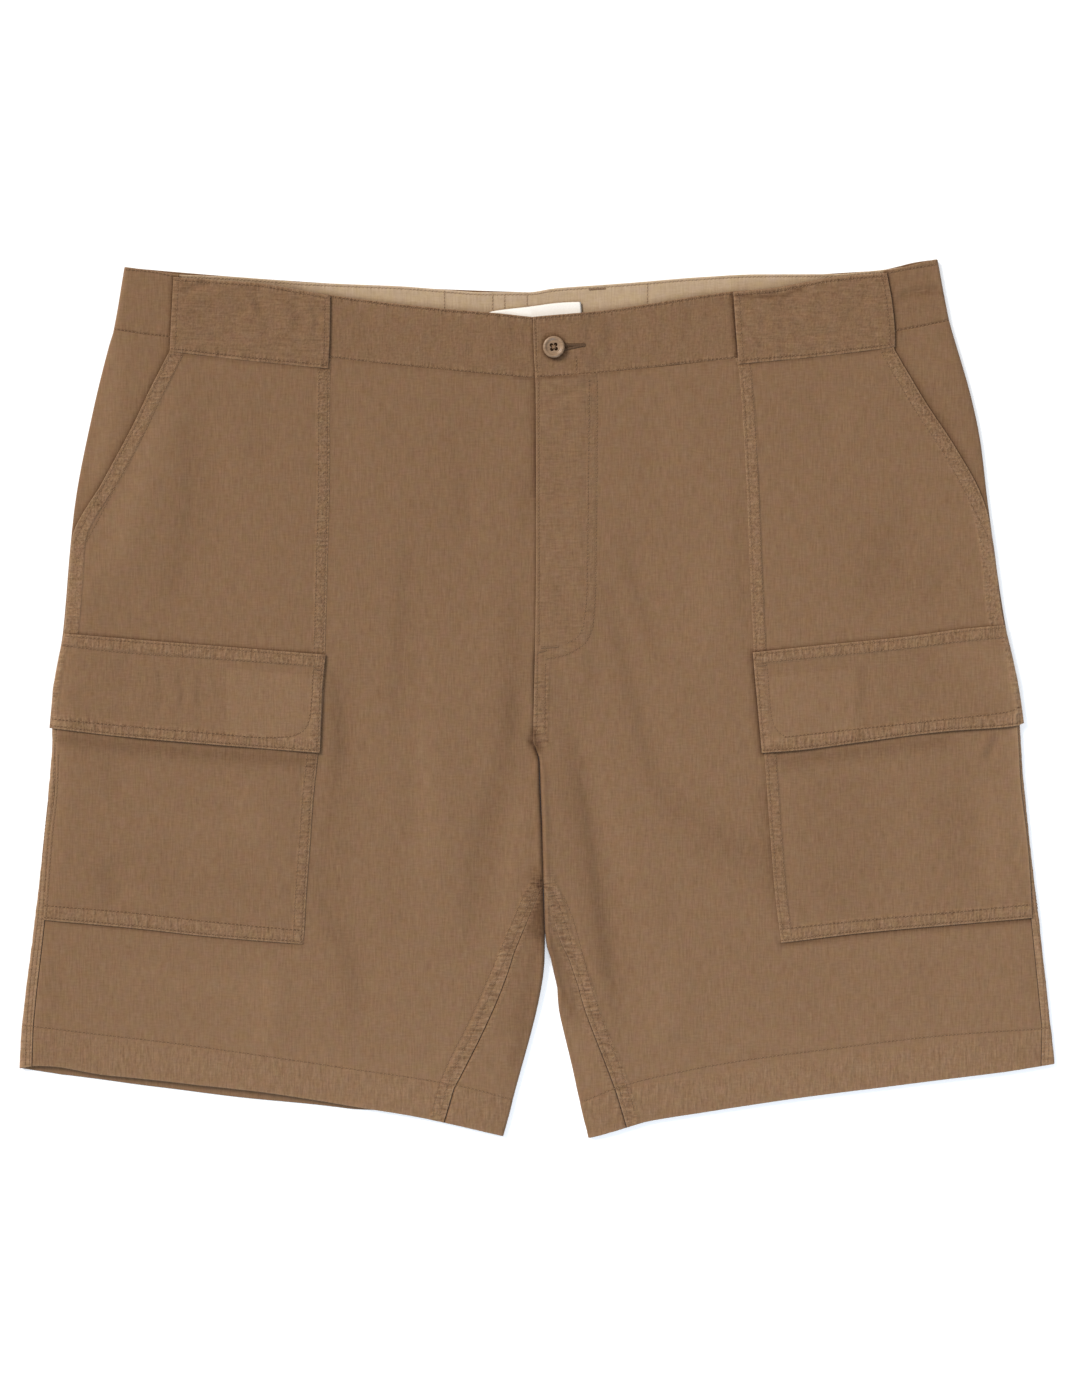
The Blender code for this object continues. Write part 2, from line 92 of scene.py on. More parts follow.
def pchip(xs, ys, q):
    """A smooth curve through (xs, ys) without overshoot, read at q."""
    xs, ys, q = np.asarray(xs, float), np.asarray(ys, float), np.asarray(q, float)
    h = np.diff(xs)
    d = np.diff(ys) / h
    m = np.zeros(len(xs))
    m[0], m[-1] = d[0], d[-1]
    same = d[:-1] * d[1:] > 0
    m[1:-1][same] = 2 * d[:-1][same] * d[1:][same] / (d[:-1][same] + d[1:][same])
    i = np.clip(np.searchsorted(xs, q, side="right") - 1, 0, len(xs) - 2)
    t = (q - xs[i]) / h[i]
    return (ys[i] * (1 + 2 * t) * (1 - t) ** 2 + h[i] * m[i] * t * (1 - t) ** 2
            + ys[i + 1] * t * t * (3 - 2 * t) + h[i] * m[i + 1] * t * t * (t - 1))


def _lattice(ix, iy, seed):
    h = (ix.astype(np.int64) * 374761393 + iy.astype(np.int64) * 668265263 + seed * 144269504) & 0xFFFFFFFF
    h = ((h ^ (h >> 13)) * 1274126177) & 0xFFFFFFFF
    return ((h ^ (h >> 16)) & 0xFFFF) / 32767.5 - 1


def noise(x, y, seed=0):
    """Smooth noise from -1 to 1 with features one unit across."""
    x, y = np.broadcast_arrays(np.asarray(x, float), np.asarray(y, float))
    ix, iy = np.floor(x), np.floor(y)
    u, v = x - ix, y - iy
    u, v = u * u * u * (u * (6 * u - 15) + 10), v * v * v * (v * (6 * v - 15) + 10)
    a, b = _lattice(ix, iy, seed), _lattice(ix + 1, iy, seed)
    c, d = _lattice(ix, iy + 1, seed), _lattice(ix + 1, iy + 1, seed)
    return a + (b - a) * u + (c - a) * v + (a - b - c + d) * u * v


def dense(points, step=1.0):
    """A smooth polyline through points (mm), with a point about every step."""
    p = np.asarray(points, float)
    if len(p) == 2:
        n = max(2, int(np.linalg.norm(p[1] - p[0]) / step) + 1)
        return p[0] + (p[1] - p[0]) * np.linspace(0, 1, n)[:, None]
    s = np.r_[0, np.cumsum(np.linalg.norm(np.diff(p, axis=0), axis=1))]
    q = np.linspace(0, s[-1], max(len(p), int(s[-1] / step) + 1))
    return np.stack([pchip(s, p[:, 0], q), pchip(s, p[:, 1], q)], 1)


def along(p, q):
    """Points at distances q along a polyline."""
    s = np.r_[0, np.cumsum(np.linalg.norm(np.diff(p, axis=0), axis=1))]
    return np.stack([np.interp(q, s, p[:, k]) for k in range(p.shape[1])], -1)


def length(p):
    return float(np.linalg.norm(np.diff(p, axis=0), axis=1).sum())


def line(points, beside=0.0, start=0.0, stop=0.0):
    """A sewing line from grid points: moved beside (grid units, to the right of its way), its ends drawn in."""
    p = dense(g(points), 1.0)
    if beside:
        t = np.gradient(p, axis=0)
        t /= np.linalg.norm(t, axis=1)[:, None]
        p = p + np.stack([t[:, 1], -t[:, 0]], 1) * beside * GRID
    total = length(p)
    n = max(2, int(total))
    return along(p, np.linspace(start * GRID, total - stop * GRID, n))


def from_line(x, y, p):
    """Distance from points to a polyline, the side (+ to the right of its way) and the share of its length."""
    shape = x.shape
    q = np.stack([x.ravel(), y.ravel()], 1)
    seg = p[1:] - p[:-1]
    ln = np.linalg.norm(seg, axis=1)
    cum = np.r_[0, np.cumsum(ln)]
    best = np.full(len(q), 1e9)
    side, share = np.zeros(len(q)), np.zeros(len(q))
    low, high = p.min(0) - 45, p.max(0) + 45
    near = np.nonzero(((q >= low) & (q <= high)).all(1))[0]
    for k in range(len(seg)):
        if ln[k] < 1e-9:
            continue
        d = q[near] - p[k]
        t = np.clip(d @ seg[k] / ln[k] ** 2, 0, 1)
        off = d - t[:, None] * seg[k]
        dist = np.hypot(off[:, 0], off[:, 1])
        closer = dist < best[near]
        at = near[closer]
        best[at] = dist[closer]
        side[at] = np.sign(seg[k][1] * d[closer, 0] - seg[k][0] * d[closer, 1])
        share[at] = (cum[k] + t[closer] * ln[k]) / cum[-1]
    return best.reshape(shape), side.reshape(shape), share.reshape(shape)


# ---- the legs' stations, as in the solids -------------------------------------------
Station = namedtuple(
    "Station", "name side_x side_y edge_x edge_y inner_x inner_y mouth side_wrap inner_wrap")
RIGHT = [
    Station("band_top", -267.8, 280.8, -133.9, 262.6, 15.0, 245.1, 32.8, 0, 0),
    Station("waist", -275.0, 239.2, -133.9, 221.6, 15.0, 207.0, 36.4, 0, 0),
    Station("loop_foot", -277.8, 229.8, -134.6, 214.2, 15.0, 199.9, 39.0, 0, 0),
    Station("mouth_mid", -288.9, 184.6, -134.6, 169.7, 15.0, 157.3, 28.9, 0, 0),
    Station("mouth_low", -299.7, 129.4, -135.2, 115.7, 13.7, 104.7, 11.1, 0, 0),
    Station("mouth_end", -302.9, 101.4, -135.9, 88.4, 11.7, 78.0, 3.6, 0, 0),
    Station("flap_top", -308.1, 42.3, -137.2, 28.9, -1.6, 20.2, 3.9, 0, 0),
    Station("pocket_top", -312.0, 20.3, -138.6, 7.0, -2.1, -2.5, 4.0, 0, 0),
    Station("crotch", -314.9, 1.3, -139.8, -13.7, -2.6, -24.7, 4.2, 0, 0),
    Station("flap_edge", -314.6, -18.9, -141.1, -35.1, -1.2, -42.9, 4.5, 3.0, 0),
    Station("inseam_top", -320.8, -95.6, -148.5, -111.8, 3.2, -119.0, 9.1, 4.6, 0),
    Station("pocket_foot", -326.0, -143.7, -151.8, -159.4, 4.6, -166.4, 10.4, 6.2, 20.5),
    Station("hem_stitch", -334.4, -212.6, -154.7, -235.3, -16.3, -261.3, 11.4, 7.2, 39.0),
    Station("hem", -336.1, -237.3, -156.0, -257.0, -22.4, -284.2, 12.3, 8.0, 39.5),
]
LEFT = [
    Station("band_top", 260.0, 284.0, 127.4, 263.9, -1.3, 247.0, 32.5, 0, 0),
    Station("waist", 267.8, 245.0, 128.7, 221.8, -1.3, 208.8, 35.1, 0, 0),
    Station("loop_foot", 270.4, 236.0, 130.0, 217.1, -1.0, 202.2, 38.0, 0, 0),
    Station("mouth_mid", 282.7, 193.0, 132.6, 173.6, -0.7, 158.6, 28.0, 0, 0),
    Station("mouth_low", 288.0, 167.1, 134.6, 148.2, -0.7, 133.3, 16.9, 0, 0),
    Station("mouth_end", 292.5, 130.0, 136.5, 112.5, -0.7, 98.2, 3.6, 0, 0),
    Station("flap_top", 304.2, 48.4, 140.4, 30.6, -1.6, 20.2, 3.9, 0, 0),
    Station("pocket_top", 309.0, 26.0, 141.9, 8.9, -2.1, -2.5, 4.0, 0, 0),
    Station("crotch", 313.0, 5.9, 143.3, -11.1, -2.6, -24.7, 4.2, 0, 0),
    Station("flap_edge", 313.4, -15.3, 146.3, -35.1, 0.6, -42.9, 4.5, 2.6, 0),
    Station("inseam_top", 320.1, -94.9, 153.4, -111.2, 5.0, -119.0, 9.1, 4.0, 0),
    Station("pocket_foot", 325.7, -141.7, 158.6, -158.6, 9.1, -166.4, 10.0, 4.6, 11.5),
    Station("hem_stitch", 333.5, -213.2, 160.6, -230.8, 30.9, -262.0, 11.4, 5.2, 22.0),
    Station("hem", 336.1, -237.3, 160.6, -260.3, 34.8, -284.2, 12.3, 8.5, 24.5),
]
BackLine = namedtuple("BackLine", "name edge_rise inner_y")
BACKS = {
    "right": [BackLine("band_top", 7.8, 264.6), BackLine("waist", 8.2, 225.6),
              BackLine("loop_foot", 8.0, 217.5), BackLine("mouth_mid", 7.0, 172.0),
              BackLine("mouth_low", 5.0, 115.0), BackLine("mouth_end", 4.0, 86.0),
              BackLine("flap_top", 1.5, 23.0)],
    "left": [BackLine("band_top", 11.7, 264.6), BackLine("waist", 11.0, 225.6),
             BackLine("loop_foot", 10.5, 217.5), BackLine("mouth_mid", 8.0, 172.0),
             BackLine("mouth_low", 6.5, 145.0), BackLine("mouth_end", 4.5, 106.0),
             BackLine("flap_top", 1.5, 23.0)],
}
Sag = namedtuple("Sag", "leg station cloth depth start full_from full_to stop")
SAGS = [
    Sag("left", "band_top", "back", 3.2, 14, 40, 105, 175),
    Sag("right", "hem", "back", 6.0, 0, 30, 110, 240),
]

# ---- creases -------------------------------------------------------------------------
# The front cloth's soft folds. The points (grid, down the leg) run along the shaded flank
# of a trough, or the lit flank of a ridge (height over 0); its middle lies 0.7 of a width
# beyond, towards the wearer's left, and its far flank is `far` times as wide. Widths and
# heights are in mm.
Fold = namedtuple("Fold", "points width height far")
FOLDS = [
    # wearer's right leg
    Fold(((182, 368), (187, 420), (187, 480), (180, 545), (164, 618)), 9.5, -1.10, 2.4),
    Fold(((158, 390), (142, 455), (118, 530), (98, 600)), 12.0, 0.85, 1.1),
    Fold(((252, 392), (258, 430), (262, 474)), 8.0, -0.40, 1.5),
    Fold(((212, 410), (222, 450), (232, 510)), 8.0, 0.40, 1.2),
    Fold(((404, 516), (403, 580), (398, 640), (396, 700), (392, 752)), 6.0, -0.85, 2.2),
    Fold(((404, 738), (405, 800), (412, 856)), 7.0, -0.50, 2.0),
    Fold(((458, 466), (462, 505), (459, 552)), 5.5, -0.55, 1.5),
    Fold(((520, 466), (524, 510), (515, 556)), 6.0, -0.40, 1.4),
    Fold(((352, 384), (360, 430), (354, 500)), 9.0, 0.35, 1.4),
    Fold(((507, 680), (511, 715), (510, 756)), 6.5, -1.35, 1.4),
    Fold(((502, 752), (487, 800), (474, 850), (468, 900), (463, 968)), 8.0, -1.10, 1.8),
    Fold(((424, 680), (420, 760), (427, 840), (422, 910)), 12.0, 0.90, 1.3),
    Fold(((516, 768), (511, 850), (503, 930), (490, 1004)), 7.0, 0.45, 2.0),
    Fold(((328, 660), (337, 700), (340, 738), (336, 790)), 5.5, -1.35, 2.2),
    Fold(((321, 826), (318, 880), (327, 922), (346, 960), (352, 1000), (346, 1052)), 7.5, -1.10, 2.0),
    Fold(((262, 946), (268, 1000), (256, 1060)), 7.0, 0.90, 1.5),
    Fold(((428, 1000), (432, 1034), (426, 1064)), 8.0, -0.35, 1.4),
    Fold(((48, 950), (56, 986), (50, 1024)), 6.0, -0.40, 1.4),
    Fold(((99, 856), (105, 885), (112, 916)), 8.5, -1.25, 1.5),
    Fold(((100, 746), (108, 775), (110, 806)), 8.0, -0.60, 1.5),
    Fold(((232, 782), (248, 815), (240, 850)), 12.0, 0.75, 1.2),
    Fold(((150, 812), (162, 850), (158, 896)), 11.0, -0.35, 1.4),
    Fold(((96, 548), (86, 580), (80, 616)), 8.0, 0.40, 1.0),
    Fold(((157, 664), (159, 690), (155, 722)), 2.6, -0.42, 1.3),
    Fold(((178, 664), (181, 694), (179, 726)), 2.6, -0.48, 1.3),
    Fold(((199, 666), (197, 700), (200, 728)), 3.0, -0.42, 1.3),
    Fold(((112, 656), (120, 684), (116, 712)), 6.0, -0.45, 1.3),
    # wearer's left leg
    Fold(((613, 514), (625, 556), (639, 603), (653, 647), (668, 690)), 6.0, -1.00, 2.4),
    Fold(((597, 552), (608, 610), (622, 660), (637, 720), (651, 772), (674, 816), (704, 846)), 7.0, -1.10, 2.0),
    Fold(((559, 700), (575, 765), (588, 825), (597, 885), (604, 945), (614, 1005), (627, 1060)), 6.5, -1.80, 2.0),
    Fold(((616, 784), (626, 860), (638, 930), (645, 1004)), 8.0, 0.25, 1.5),
    Fold(((885, 510), (874, 570), (858, 626)), 16.0, -0.85, 1.3),
    Fold(((928, 552), (934, 580), (932, 612)), 9.0, -0.45, 1.2),
    Fold(((894, 470), (898, 500), (896, 536)), 9.0, -0.40, 1.2),
    Fold(((803, 382), (815, 415), (830, 450)), 7.0, -0.42, 1.3),
    Fold(((846, 386), (842, 430), (850, 476)), 8.0, 0.35, 1.3),
    Fold(((560, 396), (567, 424), (561, 456)), 3.2, -0.32, 1.4),
    Fold(((735, 470), (737, 560), (741, 632)), 4.0, -0.42, 1.3),
    Fold(((696, 546), (704, 610), (698, 672)), 12.0, 0.60, 1.4),
    Fold(((640, 402), (646, 450), (642, 506)), 10.0, -0.35, 1.5),
    Fold(((660, 880), (668, 905), (664, 940)), 6.0, -0.35, 1.4),
    Fold(((788, 890), (798, 906), (812, 926)), 2.6, -0.50, 1.6),
    Fold(((950, 758), (958, 830), (954, 898)), 14.0, -0.55, 1.2),
    Fold(((832, 782), (840, 830), (836, 880)), 14.0, 0.25, 1.3),
    Fold(((674, 940), (662, 995), (648, 1052)), 10.0, 0.60, 1.3),
    Fold(((552, 900), (564, 950), (572, 992), (586, 1040)), 4.0, -1.00, 1.5),
    Fold(((551, 570), (556, 596), (552, 624)), 6.0, -0.45, 1.4),
    Fold(((858, 652), (862, 684), (858, 722)), 4.0, -0.45, 1.4),
    Fold(((920, 646), (926, 676), (922, 712)), 7.0, -0.35, 1.4),
    Fold(((800, 960), (810, 1004), (806, 1050)), 10.0, -0.30, 1.4),
    Fold(((920, 946), (928, 986), (938, 1026)), 9.0, -0.30, 1.4),
]
FOLD_LINES = [(f, dense(g(f.points), 3.0)) for f in FOLDS]

# Broad, soft painted light and shade on the front: painted light where the cloth turns to the light (over 0), painted
# shade where it is sunk between the layers and folds (under 0). half width in mm.
Tone = namedtuple("Tone", "points width amount")
PAINTED_TONES = [
    Tone(((176, 366), (156, 440), (126, 520), (96, 590)), 15.0, 0.095),
    Tone(((212, 420), (214, 490), (204, 560)), 9.0, -0.035),
    Tone(((470, 392), (450, 470), (436, 560), (452, 640)), 24.0, -0.035),
    Tone(((512, 560), (512, 660), (505, 760), (490, 850), (480, 940)), 8.5, -0.105),
    Tone(((346, 650), (350, 740), (340, 820), (340, 900), (362, 990)), 10.0, -0.060),
    Tone(((392, 830), (396, 880), (384, 950)), 9.0, -0.035),
    Tone(((424, 690), (420, 800), (424, 950)), 9.0, 0.020),
    Tone(((556, 700), (568, 770), (580, 840), (592, 900), (604, 960), (616, 1010)), 8.5, -0.105),
    Tone(((612, 870), (626, 930), (632, 1000)), 9.0, -0.060),
    Tone(((660, 782), (700, 820), (732, 840), (766, 864)), 10.0, -0.075),
    Tone(((826, 764), (840, 850), (832, 930)), 27.0, -0.075),
    Tone(((984, 770), (994, 850), (998, 906)), 8.0, 0.070),
    Tone(((862, 520), (904, 574), (940, 610)), 22.0, -0.045),
    Tone(((916, 380), (938, 412), (952, 440)), 7.0, -0.075),
    Tone(((968, 470), (986, 560), (996, 626)), 8.0, 0.065),
    Tone(((640, 376), (664, 430), (660, 500)), 18.0, 0.030),
    Tone(((700, 470), (716, 580), (700, 680)), 16.0, 0.025),
    Tone(((110, 820), (200, 828), (296, 836)), 12.0, 0.030),
    Tone(((90, 874), (190, 882), (292, 892)), 9.0, -0.040),
    Tone(((40, 1045), (200, 1066), (330, 1082), (450, 1098), (500, 1112)), 22.0, 0.080),
    Tone(((590, 1110), (640, 1098), (800, 1076), (1040, 1046)), 16.0, 0.050),
    Tone(((236, 956), (244, 1010), (240, 1060)), 16.0, 0.030),
    Tone(((66, 560), (60, 660), (56, 760), (50, 860)), 6.0, 0.060),
    Tone(((1000, 650), (1012, 700), (1016, 760)), 8.0, 0.060),
    Tone(((560, 594), (570, 618), (566, 640)), 7.0, -0.060),
    Tone(((742, 480), (745, 560), (748, 644)), 4.5, -0.050),
    Tone(((516, 466), (524, 500), (520, 530)), 8.0, -0.045),
    Tone(((700, 900), (760, 980), (860, 990), (960, 980)), 20.0, -0.020),
    Tone(((340, 304), (420, 313), (504, 319)), 3.5, 0.070),
    Tone(((200, 292), (190, 310), (196, 330)), 7.0, -0.040),
    Tone(((610, 318), (604, 332), (610, 346)), 6.0, -0.040),
    Tone(((536, 326), (524, 338), (526, 352)), 6.0, -0.040),
    Tone(((740, 300), (746, 318), (742, 340)), 6.0, 0.040),
    Tone(((122, 318), (112, 370), (104, 430), (90, 500)), 8.0, 0.150),
    Tone(((556, 968), (572, 1030), (596, 1096)), 8.0, 0.080),
    Tone(((1000, 634), (1012, 690), (1016, 770), (1022, 860)), 8.0, 0.120),
    Tone(((420, 990), (440, 1040), (470, 1090)), 16.0, 0.035),
    Tone(((90, 975), (200, 985), (300, 1000)), 14.0, 0.045),
    Tone(((820, 668), (840, 690), (846, 715)), 9.0, -0.025),
    Tone(((738, 368), (739, 396), (741, 420)), 2.5, -0.060),
    Tone(((512, 320), (508, 350), (516, 380)), 10.0, -0.035),
    Tone(((176, 560), (170, 592), (164, 620)), 7.0, -0.040),
    Tone(((412, 600), (414, 680), (410, 760)), 5.0, -0.050),
    Tone(((332, 690), (334, 760), (322, 860)), 4.0, -0.070),
    Tone(((690, 836), (730, 856), (770, 880)), 14.0, -0.060),
    Tone(((940, 780), (950, 850), (946, 920)), 16.0, -0.035),
    Tone(((548, 430), (552, 480), (548, 520)), 6.0, -0.040),
    Tone(((590, 390), (590, 520), (586, 680)), 5.0, 0.060),
    Tone(((950, 640), (985, 660), (1002, 700)), 16.0, 0.085),
    Tone(((44, 925), (38.6, 965), (33.5, 1020), (31.6, 1060)), 1.6, 0.220),
    Tone(((1032, 925), (1039, 965), (1042.4, 1020), (1041, 1058)), 1.6, 0.200),
    Tone(((292, 950), (298, 980), (300, 1010)), 6.0, 0.030),
    Tone(((762, 770), (768, 830), (776, 920)), 7.0, -0.120),
    Tone(((412, 760), (414, 810), (408, 850)), 6.0, -0.030),
]
PAINTED_TONE_LINES = [(t, dense(g(t.points), 3.0)) for t in PAINTED_TONES]

# Other creases: soft troughs (height under 0) and ridges, through grid points. width is
# the half width in mm, lip the share that stands up beside a trough, on its right side
# (or left if under 0). on: f front cloth, b back cloth, w front waistband, l wide loops.
Crease = namedtuple("Crease", "on points width height lip")
CREASES = [
    Crease("f", ((541, 405), (562, 398), (586, 388), (606, 379)), 2.6, -0.60, 0.5),
    Crease("f", ((554, 432), (560, 424), (562, 414)), 1.8, -0.35, 0.5),
    Crease("f", ((606, 396), (626, 392), (640, 384)), 3.4, -0.30, 0.5),
    Crease("f", ((552, 420), (576, 410), (596, 396)), 3.0, 0.22, 0),
    Crease("f", ((548, 486), (574, 490), (600, 488)), 5.0, -0.22, 0.4),
    Crease("f", ((1002, 733), (993, 747), (984, 764)), 3.2, -0.90, 0.6),
    Crease("f", ((1010, 872), (1017, 848), (1024, 828)), 2.4, -0.55, 0.6),
    Crease("f", ((545, 656), (560, 672), (566, 700)), 5.0, -0.25, 0.4),
    Crease("f", ((120, 846), (170, 858), (226, 862)), 9.0, -0.28, 0.3),
    # back cloth, seen from below: long folds under the seat and down each leg
    Crease("b", ((250, 420), (300, 560), (290, 720)), 26, -0.50, 0),
    Crease("b", ((420, 380), (450, 500), (500, 640)), 18, -0.45, 0),
    Crease("b", ((820, 400), (790, 540), (800, 700)), 24, -0.50, 0),
    Crease("b", ((660, 380), (640, 500), (580, 650)), 16, -0.40, 0),
    Crease("b", ((460, 700), (400, 820), (370, 960)), 20, -0.45, 0),
    Crease("b", ((620, 700), (690, 830), (720, 980)), 22, -0.50, 0),
    Crease("b", ((180, 640), (170, 800), (150, 940)), 26, -0.40, 0),
    Crease("b", ((900, 660), (920, 800), (930, 960)), 24, -0.40, 0),
    Crease("b", ((520, 420), (500, 520), (524, 600)), 12, -0.30, 0),
    Crease("b", ((560, 480), (574, 560), (556, 640)), 12, -0.28, 0),
]
# creases of the front waistband and the wide loops
CREASES += [
    Crease("w", ((509, 316), (514, 328), (520, 342)), 2.6, -0.38, 0.5),
    Crease("w", ((524, 322), (526, 334), (525, 346)), 2.0, -0.18, 0.4),
    Crease("w", ((470, 322), (474, 344), (470, 366)), 4.0, -0.16, 0.5),
    Crease("w", ((420, 312), (424, 330), (420, 350)), 5.0, 0.16, 0),
    Crease("w", ((372, 306), (368, 330), (374, 356)), 5.0, -0.14, 0.4),
    Crease("w", ((592, 320), (596, 340), (592, 366)), 3.6, 0.28, 0),
    Crease("w", ((612, 318), (610, 340), (616, 362)), 3.4, -0.28, 0.5),
    Crease("w", ((648, 312), (652, 332), (648, 356)), 5.0, 0.16, 0),
    Crease("w", ((690, 306), (692, 326), (688, 350)), 4.0, -0.16, 0.4),
    Crease("l", ((180, 300), (196, 288), (216, 283)), 2.6, -0.34, 0.5),
    Crease("l", ((178, 318), (200, 302), (230, 292)), 3.4, 0.22, 0),
    Crease("l", ((246, 288), (256, 298), (264, 316)), 2.6, -0.34, 0.6),
    Crease("l", ((228, 330), (240, 316), (246, 302)), 4.0, -0.20, 0.5),
    Crease("l", ((292, 296), (300, 316), (296, 336)), 4.0, -0.26, 0.5),
    Crease("l", ((756, 290), (766, 297), (776, 295), (784, 288)), 2.2, -0.34, 0.5),
    Crease("l", ((748, 324), (756, 334), (766, 342)), 2.6, -0.28, 0.5),
    Crease("l", ((849, 292), (855, 303), (858, 316)), 4.0, -0.24, 0.5),
    Crease("l", ((802, 298), (808, 316), (804, 334)), 5.0, 0.20, 0),
    Crease("l", ((870, 286), (862, 306), (866, 326)), 3.0, -0.18, 0.5),
    Crease("l", ((310, 306), (318, 320), (314, 340)), 2.4, -0.24, 0.5),
    Crease("l", ((190, 340), (210, 336), (236, 344)), 3.0, -0.22, 0.5),
    Crease("l", ((272, 350), (290, 344), (312, 352)), 3.0, -0.22, 0.5),
    Crease("l", ((746, 304), (760, 312), (768, 330)), 3.0, -0.28, 0.5),
    Crease("l", ((776, 296), (790, 308), (812, 314)), 3.2, -0.26, 0.6),
    Crease("l", ((820, 290), (836, 304), (856, 310)), 3.0, 0.24, 0),
    Crease("l", ((846, 286), (866, 298), (886, 300)), 2.6, -0.30, 0.5),
    Crease("l", ((800, 340), (826, 334), (850, 338)), 3.0, -0.22, 0.5),
    Crease("l", ((756, 346), (772, 340), (786, 346)), 2.6, -0.22, 0.5),
    Crease("l", ((868, 320), (876, 330), (872, 342)), 2.6, -0.22, 0.5),
]
CREASE_LINES = [(c, dense(g(c.points), 4.0)) for c in CREASES]


def creases(x, y, on):
    total = np.zeros(x.shape)
    for c, p in CREASE_LINES:
        if c.on != on:
            continue
        d, side, share = from_line(x, y, p)
        ends = smooth(-0.02, 0.3, share) * smooth(1.02, 0.7, share)
        total += c.height * ends * np.exp(-(d / c.width) ** 2)
        if c.lip:
            q = d * side * (1 if c.lip > 0 else -1) - 1.7 * c.width
            total -= c.height * abs(c.lip) * ends * np.exp(-(q / (0.9 * c.width)) ** 2)
    return total


def folds(x, y):
    """Heights of the front cloth's folds, and how much they shade it (under 0) or clear it."""
    high, tone = np.zeros(x.shape), np.zeros(x.shape)
    for f, p in FOLD_LINES:
        d, side, share = from_line(x, y, p)
        beyond = np.where(d > 1e8, 1e9, -d * side)
        u = beyond - 0.7 * f.width
        ends = smooth(-0.02, 0.32, share) * smooth(1.02, 0.68, share)
        high += f.height * ends * np.exp(-(u / np.where(u < 0, f.width, f.width * f.far)) ** 2)
        tone += f.height * ends * np.exp(-((beyond - 0.15 * f.width) / (0.95 * f.width)) ** 2)
    return high, tone


def unevenness(x, y, seed):
    """Cloth never lies quite flat: wide swells, and finer ones drawn out along the leg."""
    return (0.16 * noise(x / 62, y / 95, seed) + 0.09 * noise(x / 24 + 0.004 * y, y / 60, seed + 1)
            + 0.035 * noise(x / 10, y / 26, seed + 2))


def loft(x, y, laps):
    """Height of the front cloth's middle over the back cloth's, without its creases."""
    base = LOFT + (BAND_LOFT - LOFT) * smooth(150, 225, y)
    base = base + 0.5 * smooth(200, 225, y) * np.exp(-((x / 75) ** 2))
    base = base - 0.75 * crotch_dip(x, y)
    if laps:
        base = base + FLY_OVERLAP * smooth(40, 26, x) * smooth(-12, 18, y)
    return base


def crotch_dip(x, y):
    return np.exp(-(((x + 2) / 24) ** 2) - ((y + 34) / 26) ** 2)


def front_relief(x, y):
    raw = LIFT + folds(x, y)[0] + creases(x, y, "f") + 1.5 * unevenness(x, y, 11)
    raw = raw * (1 - crotch_dip(x, y)) * (1 - 0.75 * smooth(196, 226, y))
    return np.where(raw < -0.2, -0.2 + 0.9 * np.tanh((raw + 0.2) / 0.9), raw)


def fold_painted_shading(x, y):
    """The folds' painted light and shade in the cloth's colour: painted shade in the troughs, painted light on the
    ridges, and the broad painted light and shade of the tone table.
    """
    total = 0.040 * folds(x, y)[1]
    for t, p in PAINTED_TONE_LINES:
        d, _, share = from_line(x, y, p)
        total += t.amount * np.exp(-(d / t.width) ** 2) * smooth(44, 36, d) * smooth(-0.1, 0.25, share) * smooth(1.1, 0.75, share)
    return total


def back_relief(x, y):
    """Only inwards, so that the underside keeps lying on the surface."""
    raw = creases(x, y, "b") + 0.12 * noise(x / 50, y / 80, 31) - 0.06
    return -np.log1p(np.exp(-raw * 12)) / 12 + 0.0


